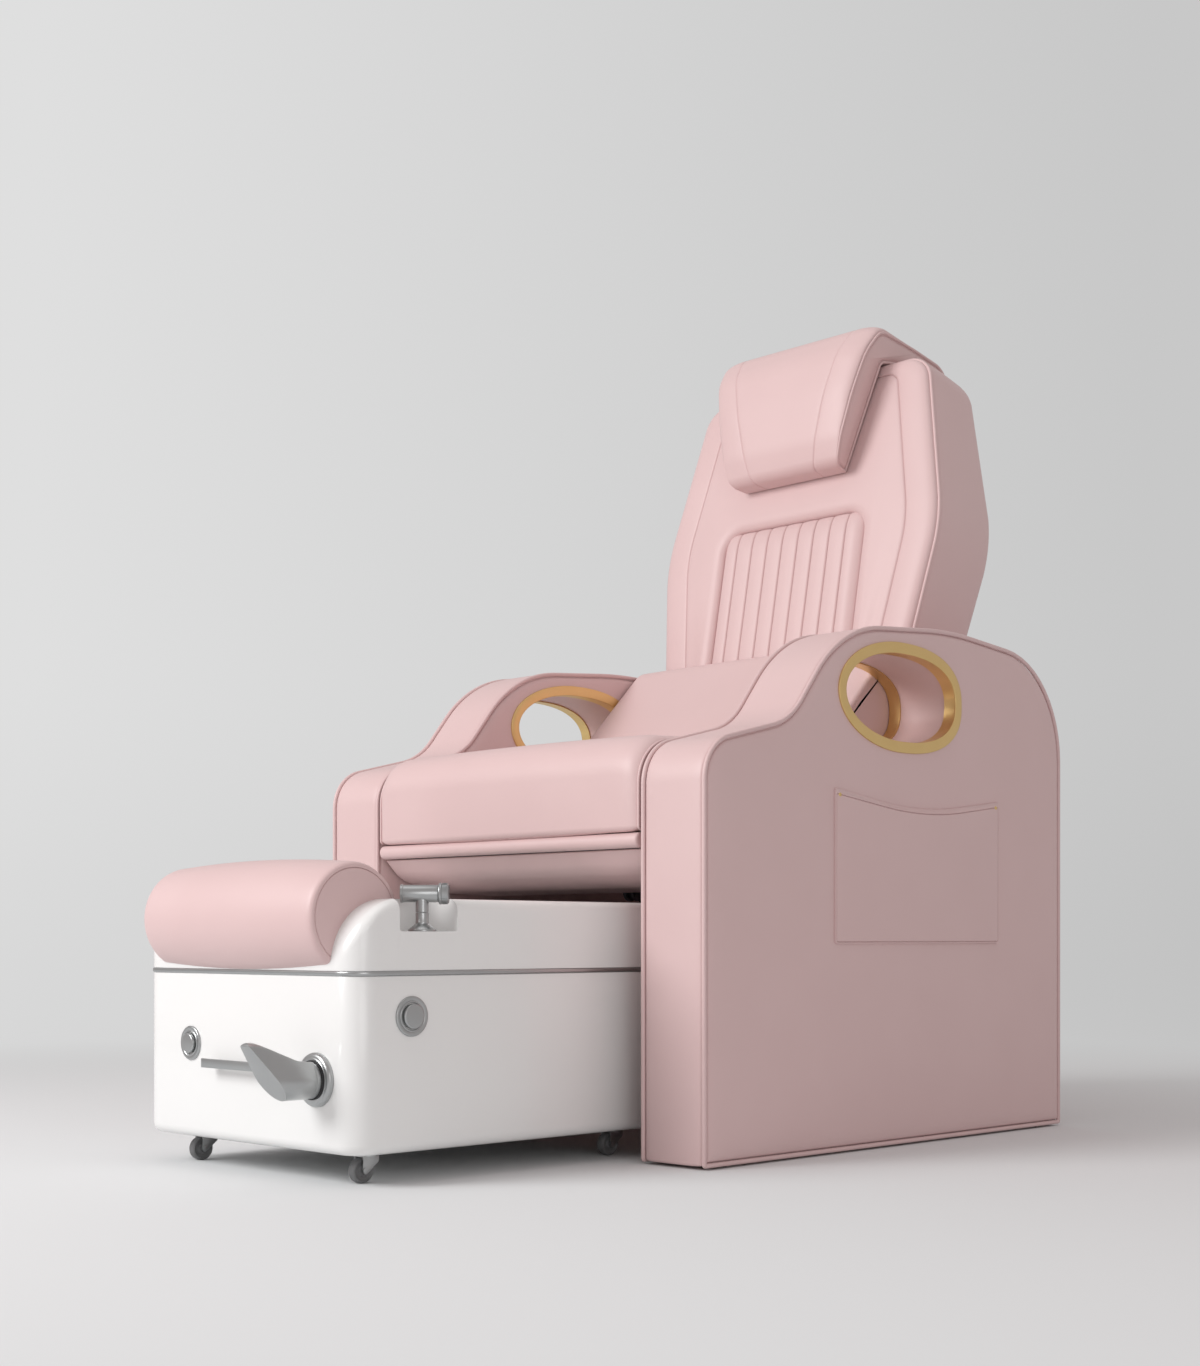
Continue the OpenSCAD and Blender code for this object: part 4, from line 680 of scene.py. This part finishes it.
# ---- Headrest pillow ----
# A thick pillow hangs over the top of the back, on two bright steel posts that slide in guides
# of zinc-plated steel. Two seams divide its face into three panels, and a gusset closes each
# side between two rows of piping.
dress(["headrest_posts"], BRIGHT_STEEL)
dress(["headrest_guides"], ZINC)
# Corners of the pillow's side view: back, along the back, radius. The first six lie inside,
# against the back, and each corner becomes an arc of 13 points.
PILLOW = [(-13, 674, 3), (-13, 875, 8), (20, 885, 30), (73, 885, 40), (150, 845, 30),
          (170, 787, 2), (194, 787, 9), (172, 932, 50), (60, 931, 300), (-44, 925, 34),
          (-69, 876, 90), (-74, 803, 400), (-69, 722, 110), (-56, 674, 22)]
PILLOW_INSIDE = 6 * 13
PILLOW_SWELL = 15
PILLOW_TUCK = 10
# Half of the pillow's width, as (height, half width)
PILLOW_WIDTHS = [(480, 122), (668, 122), (684, 130), (880, 176), (921, 183), (990, 183)]


def ramp(value, start, end):
    """0 up to the start, 1 from the end on, and straight between them."""
    return min(1, max(0, (value - start) / (end - start)))


def seam_share(s):
    """How far out the pillow's seams lie: closer to the middle at its foot."""
    return 0.585 + 0.125 * ramp(s, 668, 918)


def fullness(p):
    """How much of the swelling a point of the profile takes: none at the foot, all at the brow."""
    return math.sin(ramp(p.y, 674, 889) * math.pi / 2) * (1 - 0.65 * ramp(p.x, -25, 60))


def tuck(p):
    """How far the pillow's sides draw in towards the back that they lie on."""
    return PILLOW_TUCK * ramp(p.y, 900, 850) * ramp(p.x, -72, -13) ** 1.4


def pillow_section(side, station, inward, extra=0.0):
    """The side view at a station: 0 at the middle, 1 at the seam, 2 at the side."""
    edge = ramp(station, 1.12, 2)
    swell = PILLOW_SWELL * math.sqrt(1 - edge * edge)
    points = []
    plain = outline(PILLOW, inward)
    swollen = outline(PILLOW, inward - swell)
    for k, (p, full) in enumerate(zip(plain, swollen)):
        seam = seam_share(p.y)
        share = station * seam if station <= 1 else seam + (1 - seam) * (station - 1)
        if k >= PILLOW_INSIDE:
            p = p.lerp(full, fullness(p))
        half = value_at(PILLOW_WIDTHS, p.y) - tuck(p)
        points.append(Vector((side * (half * share + extra), p.x, p.y)))
    return points


bm = bmesh.new()
# From the middle outwards, as (station, inward, extra): panel, seam, panel, gusset
PILLOW_HALF = [(0, 0, 0), (0.3, 0, 0), (0.6, 0, 0), (0.85, 0, 0), (0.95, 0, 0), (0.982, 0.25, 0),
               (1, 1.6, 0), (1.03, 0.2, 0), (1.08, 0, 0)]
PILLOW_HALF += [(1.12 + 0.88 * math.sin(math.radians(a)), 0, 0)
                for a in (10, 20, 30, 40, 50, 60, 70, 78)]
PILLOW_HALF += [(1.985, 1.4, 0), (2, 3.2, -0.6), (2, 5.2, -2.6), (2, 6.4, -2.2), (2, 8, -0.2),
                (2, 9.5, 0.8)]
stations = [(1, *s) for s in PILLOW_HALF[::-1]] + [(-1, *s) for s in PILLOW_HALF[1:]]
loft(bm, [pillow_section(*station) for station in stations])
pillow = piece("pillow_leather", bm, PINK, "headrest", ON_BACK, sharp=60,
               replaces=["headrest_pillow"])
for side, label in SIDES:
    piping(f"pillow_piping_{label}", pillow_section(side, 2, 2.2), 2.4, PINK, "headrest", ON_BACK)

# ---- Foot tub: casings and basin ----
# Two glossy white acrylic casings meet at a grey metal band. The upper one has a rounded brow
# at its front and a recess in its rim for the faucet; the basin hangs in it.
TUB_HALF = 258
TUB_FRONT = -488
TUB_BACK = 112
TUB_TOP = 388
TUB_LOW = 43
BAND_Z = 283
BAND_TOP = 290
TUB_CORNER = 40
BROW = 88
BACK_ROLL = 14
RIM_ROLL = 17


def acrylic_finish():
    """Glossy white acrylic, faintly rippled as a moulded sheet is."""
    def draw(place):
        ripple = place.noise(9, 2)
        cloud = place.noise(3, 2)
        return {"Base Color": cloud.mix(linear(235, 235, 234), linear(238, 238, 237)),
                "Roughness": 0.2 + place.noise(60, 3) * 0.08,
                "Normal": ripple.bump(0.05, 0.002)}
    return finish_of("white_acrylic", draw, Coat_Weight=0.4, Coat_Roughness=0.08)


ACRYLIC = acrylic_finish()
TUB_PLAN = [(-TUB_HALF, TUB_FRONT, TUB_CORNER), (TUB_HALF, TUB_FRONT, TUB_CORNER),
            (TUB_HALF, TUB_BACK, TUB_CORNER), (-TUB_HALF, TUB_BACK, TUB_CORNER)]
BASIN_PLAN = [(-178, -362, 60), (178, -362, 60), (178, 62, 60), (-178, 62, 60)]


def level(points, z):
    """A line drawn in the plan, set at z."""
    return [Vector((p[0], p[1], z)) for p in points]


def upright(points, y):
    """A line drawn in the front view, set at y."""
    return [Vector((p[0], y, p[1])) for p in points]


def rolled(radius):
    """(inward, up) steps of a quarter roll, from flat underneath to straight up."""
    turns = [math.radians(a) for a in (0, 15, 30, 45, 60, 75, 90)]
    return [(radius * (1 - math.sin(a)), radius * (1 - math.cos(a))) for a in turns]


bm = bmesh.new()
wall = [(inward, TUB_LOW + up) for inward, up in rolled(15)]
wall += [(0, 160), (0, BAND_Z - 1.2), (0.4, BAND_Z - 0.4), (1.2, BAND_Z), (5, BAND_Z),
         (5, TUB_LOW + 20), (20, TUB_LOW + 6)]
loft(bm, [level(outline(TUB_PLAN, inward), z) for inward, z in wall])
piece("tub_casing_lower", bm, ACRYLIC, "tub", replaces=["tub_lower_shell"])

SATIN = metal_finish("satin_chrome", linear(184, 186, 186), linear(174, 177, 178), 0.24, 0.12)
bm = bmesh.new()
band = [(5, 0.1), (0.3, 0.1), (-0.9, 0.8), (-1.5, 2), (-1.5, 5), (-0.9, 6.2), (0.3, 6.9), (5, 6.9)]
loft(bm, [level(outline(TUB_PLAN, inward), BAND_Z + z) for inward, z in band], closed=True)
piece("tub_band", bm, SATIN, "tub", sharp=60, replaces=["tub_trim_band"])


def rim_section(y):
    """The upper casing cut across at y: lower at the brow, narrower in the plan's corners."""
    from_front = y - TUB_FRONT
    from_back = TUB_BACK - y
    corner = TUB_CORNER - min(TUB_CORNER, from_front, from_back)
    half = TUB_HALF - (TUB_CORNER - math.sqrt(TUB_CORNER ** 2 - corner ** 2))
    fall = BROW - min(BROW, from_front)
    top = TUB_TOP - (BROW - math.sqrt(BROW ** 2 - fall ** 2))
    back_fall = BACK_ROLL - min(BACK_ROLL, from_back)
    top -= BACK_ROLL - math.sqrt(BACK_ROLL ** 2 - back_fall ** 2)
    roll = min(RIM_ROLL, (top - BAND_TOP) * 0.95)
    corners = [(-half, BAND_TOP, 0.4), (half, BAND_TOP, 0.4), (half, top, roll), (-half, top, roll)]
    return upright(outline(corners), y)


def cut(obj, *cutters):
    """Cuts solids out of a piece and softens the new edges."""
    for solid in cutters:
        change = obj.modifiers.new("cut", "BOOLEAN")
        change.object = solid
        change.solver = "EXACT"
    soften = obj.modifiers.new("soften", "BEVEL")
    soften.width = 0.0035
    soften.segments = 4
    soften.limit_method = "ANGLE"
    soften.angle_limit = math.radians(50)
    mesh = bpy.data.meshes.new_from_object(obj.evaluated_get(bpy.context.evaluated_depsgraph_get()))
    obj.modifiers.clear()
    obj.data = mesh
    mesh.shade_smooth()
    mesh.set_sharp_from_angle(angle=math.radians(35))
    for solid in cutters:
        bpy.data.objects.remove(solid)


def cutter(bm):
    """A solid that only cuts: it rides on nothing and is removed after use."""
    bmesh.ops.recalc_face_normals(bm, faces=bm.faces)
    bm.transform(IN_CHAIR)
    mesh = bpy.data.meshes.new("cutter")
    bm.to_mesh(mesh)
    bm.free()
    obj = bpy.data.objects.new("cutter", mesh)
    bpy.context.collection.objects.link(obj)
    return obj


bm = bmesh.new()
cuts = [TUB_FRONT + BROW * (1 - math.cos(math.radians(a))) for a in range(0, 91, 5)]
cuts += [-300, -150, 0, TUB_BACK - TUB_CORNER]
cuts += [TUB_BACK - TUB_CORNER * (1 - math.sin(math.radians(a))) for a in range(10, 91, 8)]
loft(bm, [rim_section(y) for y in cuts])
rim = piece("tub_casing_upper", bm, ACRYLIC, "tub", replaces=["tub_top"])
RECESS = [(196, -411, 30), (300, -411, 2), (300, -309, 2), (196, -309, 30)]
hole = bmesh.new()
loft(hole, [level(outline(BASIN_PLAN), z) for z in (200, 420)])
notch = bmesh.new()
loft(notch, [level(outline(RECESS, inward), z)
             for inward, z in ((3, 343), (0.9, 343.9), (0, 346), (0, 420))])
cut(rim, cutter(hole), cutter(notch))

# The basin's inside from its lip to the drain, and its outside
bm = bmesh.new()
bowl = [(0.4, 383), (0.4, 380), (2, 300), (5, 200)]
bowl += [(5 + inward, 150 + up) for inward, up in rolled(42)[::-1]]
outside = [(100, 146), (46, 146), (8, 165), (-4, 200), (-4, 375), (-8, 383)]
for wall in (bowl + [(90, 149.5)], outside):
    loft(bm, [level(outline(BASIN_PLAN, inward), z) for inward, z in wall], capped=False)
piece("tub_basin_bowl", bm, ACRYLIC, "tub", replaces=["tub_basin"])

# ---- Footrest pad ----
# A barrel of foam in leather, scooped to sit on the brow. A seam joins its wrap to the two
# round end panels just inside the rolled edge.
PAD_HALF = 207
PAD_Y = -446
PAD_Z = 362


def pad_profile():
    """(radius, x) from one end's centre to the other: end panel, seam, roll and barrel."""
    end = [(0, 2.2), (40, 1.8), (60, 0.9), (65.4, 0.2), (66.8, -0.5), (67.4, -2.4), (68, -0.5),
           (69.4, -0.2), (71.6, -0.9), (73.8, -2.8), (75.4, -6), (76.4, -11)]
    half = [(r, PAD_HALF + x) for r, x in end]
    for share in (0.9, 0.75, 0.6, 0.45, 0.3, 0.15, 0):
        half.append((76 + 7 * (1 - share * share), share * (PAD_HALF - 9)))
    return half + [(r, -x) for r, x in half[-2::-1]]


bm = bmesh.new()
turned(bm, pad_profile(), steps=96)
lying = Matrix.Translation((0, PAD_Y, PAD_Z)) @ SIDEWAYS
pad = piece("footrest_leather", bm, PINK, "tub", IN_CHAIR @ lying, sharp=60,
            replaces=["footrest_pad"])

# ---- Plumbing ----
# Under the basin are a chromed drain with its strainer and a water jet with its black pump.
# A copper pipe runs from the valve body behind the mixer to the faucet.
COPPER = metal_finish("copper_tube", linear(205, 140, 105), linear(184, 118, 84), 0.28, 0.2)
dress(["drain_fitting", "mixer_valve"], SATIN)
dress(["jet_pump"], BLACK_PLASTIC)
dress(["supply_pipe"], COPPER)

# ---- Mixer ----
# A round escutcheon, a black gasket ring and a knurled collar carry the lever: a cylinder cut
# off at a slant, whose upper side runs out into a flat tongue.
MIXER_X = 177
MIXER_Z = 143
ROSE_R = 37
ROSE_ROLL = 5.6
FORWARDS = Matrix.Rotation(math.pi / 2, 4, "X")
ON_MIXER = IN_CHAIR @ Matrix.Translation((MIXER_X, TUB_FRONT, MIXER_Z)) @ FORWARDS
bm = bmesh.new()
rose_edge = [(ROSE_R + ROSE_ROLL * (math.cos(a) - 1), 2.8 + ROSE_ROLL * math.sin(a))
             for a in (math.radians(15 * k) for k in range(7))]
turned(bm, [(0, 0), (ROSE_R, 0), (ROSE_R, 2.4)] + rose_edge + [(29.5, 8.6), (29, 9), (0, 9)])
piece("mixer_rose", bm, SATIN, "tub", ON_MIXER, sharp=35, replaces=["mixer_escutcheon"])
bm = bmesh.new()
turned(bm, [(0, 9), (26.7, 9), (26.9, 10), (26.7, 11), (0, 11)])
piece("mixer_ring_seal", bm, RUBBER, "tub", ON_MIXER, replaces=["mixer_gasket"])
bm = bmesh.new()
turned(bm, [(0, 11), (24.6, 11), (25, 11.4), (25, 12.6), (24.2, 13), (24.2, 18), (25, 18.4),
            (25, 19.6), (24.6, 20), (0, 20)], steps=96)


def knurled(bm, inner, low, high, growth, every=1):
    """Raises teeth from a turned rim: the faces outside a radius and between two heights."""
    rim_faces = [f for f in bm.faces if f.calc_center_median().xy.length > inner
                 and low < f.calc_center_median().z < high]
    for f in rim_faces[::every]:
        made = bmesh.ops.extrude_discrete_faces(bm, faces=[f])["faces"]
        bmesh.ops.scale(bm, vec=(growth, growth, 1), verts=made[0].verts)


knurled(bm, 24, 13, 18, 1.03)
piece("mixer_knurled_collar", bm, SATIN, "tub", ON_MIXER, sharp=30, replaces=["mixer_collar"])


def from_cad(name, node, body, edge, dissolve=2.0, sharp=30):
    """A satin chrome copy of a CAD node with its sharp edges rounded over."""
    bm = bmesh.new()
    bm.from_mesh(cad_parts[node].data)
    bmesh.ops.remove_doubles(bm, verts=bm.verts, dist=0.00001)
    bmesh.ops.dissolve_limit(bm, angle_limit=math.radians(dissolve), verts=bm.verts,
                             edges=bm.edges)
    edges = [e for e in bm.edges
             if len(e.link_faces) == 2 and e.calc_face_angle() > math.radians(40)]
    bmesh.ops.bevel(bm, geom=edges, offset=edge * 0.001, offset_type="OFFSET", segments=3,
                    profile=0.5, affect="EDGES", material=-1, clamp_overlap=True)
    piece(name, bm, SATIN, body, Matrix.Identity(4), sharp=sharp, replaces=[node])


from_cad("mixer_handle", "mixer_lever", "mixer_lever", edge=1.2, dissolve=0.5, sharp=32)

# ---- Pull handle and push buttons ----
# A flat bar on two posts pulls the tub out. Two caps spring back in turned round bezels, and
# a dark ring sunk in the gap between each cap and its bezel is painted shade for that gap.
from_cad("pull_bar", "pull_handle", "tub", edge=0.9)
ON_SIDE = IN_CHAIR @ Matrix.Translation((TUB_HALF, -391, 228)) @ SIDEWAYS
ON_FRONT = IN_CHAIR @ Matrix.Translation((-128, TUB_FRONT, 181)) @ FORWARDS


def bezel_profile(r):
    """(radius, height) round a cap of radius r: flange, groove, lip, then the bore."""
    return [(r + 3, -24), (r + 9.4, -0.2), (r + 10, 0.2), (r + 10, 1.7), (r + 9.6, 2.4),
            (r + 8.8, 2.9), (r + 7.9, 3), (r + 4.8, 3), (r + 4.2, 2.7), (r + 3.6, 2.4),
            (r + 3, 2.7), (r + 2.4, 3), (r + 1.6, 2.9), (r + 1.2, 2.4), (r + 0.9, -22),
            (r + 3, -24)]


for name, place, r in (("side", ON_SIDE, 17.5), ("front", ON_FRONT, 15)):
    bm = bmesh.new()
    turned(bm, bezel_profile(r), steps=80)
    piece(f"{name}_bezel", bm, SATIN, "tub", place, sharp=35,
          replaces=["button_bezels"] if name == "side" else [])
    bm = bmesh.new()
    turned(bm, [(0, -16), (r - 0.6, -16), (r - 0.6, 3)] + dome(r - 0.4, 8, 2.2, 6)[1:], steps=80)
    piece(f"{name}_button_cap", bm, SATIN, f"{name}_button", place, sharp=35,
          replaces=[f"{name}_button"])
    # Painted shade: a dark ring, touching neither cap nor bezel, sits low in the gap to darken it.
    bm = bmesh.new()
    turned(bm, [(r - 0.3, -2), (r + 0.95, -2), (r + 0.95, -1), (r - 0.3, -1), (r - 0.3, -2)],
           steps=48)
    piece(f"{name}_button_gap_shade", bm, RUBBER, "tub", place)

# ---- Faucet ----
# A column on a coned foot stands in the recess. The head turns on it, with an open outlet at
# one end of its barrel and a knurled knob at the other.
SPOUT_Z = 395
SPOUT_TURN = Matrix.Rotation(math.pi / 4, 4, "Z")
ON_RECESS = IN_CHAIR @ Matrix.Translation((235, -353, 0))
# The barrel's frame: its axis lies level, turned 45 degrees, at the top of the column
SPOUT = Matrix.Translation((0, 0, SPOUT_Z)) @ SPOUT_TURN @ SIDEWAYS
bm = bmesh.new()
turned(bm, [(0, 321), (7, 321), (7, 343.1), (19, 343.1), (19.5, 343.6), (19.5, 345), (19, 345.8),
            (13, 351), (11, 352.4), (10, 353.4), (9.4, 354), (9.4, 356), (9.2, 356.4),
            (9.2, 368.4), (8.8, 368.9), (4, 368.9), (4, 377), (0, 377)])
piece("faucet_foot", bm, SATIN, "tub", ON_RECESS, sharp=35, replaces=["faucet_base"])
# The head: an upright neck, and the barrel that is open at its outlet end
bm = bmesh.new()
turned(bm, [(4.1, 369.3), (8.8, 369.3), (9.2, 369.8), (9.2, 392), (4.1, 392), (4.1, 369.3)])
bm.transform(SPOUT.inverted())
turned(bm, [(0, -14), (9.5, -14), (9.5, -29.4), (9.9, -30), (12.2, -30), (12.8, -29.4),
            (12.8, -26.4), (12.4, -26), (12, -25.6), (12, 21.4), (11.6, 22), (0, 22)], steps=72)
piece("faucet_barrel", bm, SATIN, "faucet_head", ON_RECESS @ SPOUT, sharp=35,
      replaces=["faucet_head"])
bm = bmesh.new()
turned(bm, [(0, 22.3), (12.6, 22.3), (14.6, 23.4), (15, 24.2), (15, 26.4), (14.4, 27), (14, 27.4),
            (14, 35), (13.6, 35.6), (12.8, 36.8), (0, 36.8)], steps=72)
knurled(bm, 13.8, 27.4, 35, 1.05, every=2)
piece("faucet_knurled_knob", bm, SATIN, "faucet_knob", ON_RECESS @ SPOUT, sharp=30,
      replaces=["faucet_knob"])

# ---- Casters ----
# Pressed steel forks swivel under plates that are bolted to the tub. Each carries a moulded
# grey wheel, whose hub turns on an axle a little ahead of the swivel.
WHEEL_GREY = matt_finish("grey_tread", linear(114, 114, 115), linear(104, 104, 105), 0.38, 600)
dress(["caster_plates"], SATIN)
CASTER_X = 195
CASTER_FRONT = -416
CASTER_REAR = 61
CASTER_TRAIL = 12
WHEEL_R = 17.5
# Half of the wheel cut through, as (radius, across): rounded tread, sunk side, hub
WHEEL_HALF = [(WHEEL_R, 3.8), (17.1, 5.4), (16.2, 6.6), (15, 7), (14.2, 6.7), (13, 5), (12, 4.6),
              (8, 4.6), (7, 6.2), (6.6, 6.6), (3.1, 6.6)]
for end, y in (("front", CASTER_FRONT), ("rear", CASTER_REAR)):
    for side, hand in SIDES:
        label = f"{end}_{hand}"
        from_cad(f"caster_cheeks_{label}", f"caster_fork_{label}", f"fork_{label}", edge=0.35,
                 sharp=35)
        bm = bmesh.new()
        turned(bm, [(r, -x) for r, x in WHEEL_HALF[::-1]] + WHEEL_HALF + [(3.1, -6.6)], steps=64)
        axle = Matrix.Translation((side * CASTER_X, y - CASTER_TRAIL, WHEEL_R)) @ SIDEWAYS
        piece(f"caster_tread_{label}", bm, WHEEL_GREY, f"wheel_{label}", IN_CHAIR @ axle, sharp=35,
              replaces=[f"caster_wheel_{label}"])

# ---- Studio ----
# A pale floor runs into a curved backdrop. A large soft lamp stands in front and to the left,
# two weaker ones above and to the right, and the faintly pink surroundings fill the shadows.
FLOOR_RADIUS = 3.6
SWEEP_RADIUS = 2.0
BACKDROP_TOP = 9
CAMERA_X = 2.2527
CAMERA_Y = -2.1996
CAMERA_Z = 0.3326
FRAME_ROWS = 1366
HORIZON_ROW = 939


def studio_finish(name, fade_start, fade_end):
    """Grey paper. Far from the object it glows with painted light instead of being lit: paler to
    the left and higher up.
    """
    def draw(place):
        along = place.node("VectorMath", {"operation": "DOT_PRODUCT"},
                           {0: place, 1: (0.7071, 0.7071, 0)}, 1)
        side = along.node("MapRange", {}, {0: along, 1: -2.4, 2: 2.4})
        up = place.node("SeparateXYZ", {}, {0: place}, 2)
        height = up.node("MapRange", {"interpolation_type": "SMOOTHSTEP"},
                         {0: up, 1: 0.0, 2: 1.6})
        # Painted light: far off, the glow is paler to the left and higher up, as the lamps' light
        # falling off would be.
        low = side.mix(linear(217, 217, 217), linear(194, 194, 194))
        high = side.mix(linear(223, 223, 223), linear(200, 200, 200))
        flat = place.node("VectorMath", {"operation": "MULTIPLY"}, {0: place, 1: (1, 1, 0)})
        reach = flat.node("VectorMath", {"operation": "LENGTH"}, {0: flat}, 1)
        far = reach.node("MapRange", {"interpolation_type": "SMOOTHSTEP"},
                         {0: reach, 1: fade_start, 2: fade_end})
        return {"Base Color": far.mix(linear(224, 226, 227), (0, 0, 0, 1)),
                "Emission Color": far.mix((0, 0, 0, 1), height.mix(low, high))}
    return finish_of(name, draw, Emission_Strength=1.0, Specular_IOR_Level=0.0, Roughness=1.0)


# The floor and the backdrop are drawn in metres
bm = bmesh.new()
turned(bm, [(0, 0), (1, 0), (2, 0), (FLOOR_RADIUS, 0)], steps=128)
floor = piece("floor", bm, studio_finish("studio_floor", 1.2, FLOOR_RADIUS), "chair",
              Matrix.Identity(4))
bm = bmesh.new()
turns = [math.radians(a) for a in range(0, 91, 6)]
sweep = [(FLOOR_RADIUS + SWEEP_RADIUS * math.sin(a), SWEEP_RADIUS * (1 - math.cos(a)))
         for a in turns]
turned(bm, sweep + [(FLOOR_RADIUS + SWEEP_RADIUS, BACKDROP_TOP)], steps=128)
backdrop = piece("backdrop", bm, studio_finish("studio_backdrop", 1, 2), "chair",
                 Matrix.Identity(4))
backdrop.visible_diffuse = False
backdrop.visible_glossy = False
backdrop.visible_shadow = False


def lamp(name, place, aim, size, watts):
    light = bpy.data.lights.new(name, "AREA")
    light.shape = "DISK"
    light.size = size
    light.energy = watts
    obj = bpy.data.objects.new(name, light)
    obj.location = place
    obj.rotation_euler = (Vector(aim) - Vector(place)).to_track_quat("-Z", "Y").to_euler()
    bpy.context.collection.objects.link(obj)


lamp("key", (-1.5, -4.4, 2.9), (0, 0, 0.5), 2.6, 172)
lamp("top", (0.2, -0.6, 4.6), (0, -0.2, 0.4), 3.0, 14)
lamp("side", (3.4, -2.0, 0.9), (0.2, -0.5, 0.3), 1.8, 11)
world = bpy.data.worlds.new("studio")
world.use_nodes = True
surroundings = world.node_tree.nodes["Background"].inputs
surroundings["Color"].default_value = (1, 0.935, 0.922, 1)
surroundings["Strength"].default_value = 0.53
bpy.context.scene.world = world

# The camera stands level; its frame is shifted up, so that the horizon lies low in it
camera = bpy.data.cameras.new("camera")
camera.lens = 50
camera.sensor_fit = "VERTICAL"
camera.sensor_width = 36
camera.sensor_height = 36
camera.shift_y = (HORIZON_ROW - FRAME_ROWS / 2) / FRAME_ROWS
viewpoint = bpy.data.objects.new("camera", camera)
viewpoint.location = (CAMERA_X, CAMERA_Y, CAMERA_Z)
viewpoint.rotation_euler = (math.pi / 2, 0, math.pi / 4)
bpy.context.collection.objects.link(viewpoint)
bpy.context.scene.camera = viewpoint
bpy.context.scene.view_settings.view_transform = "Standard"
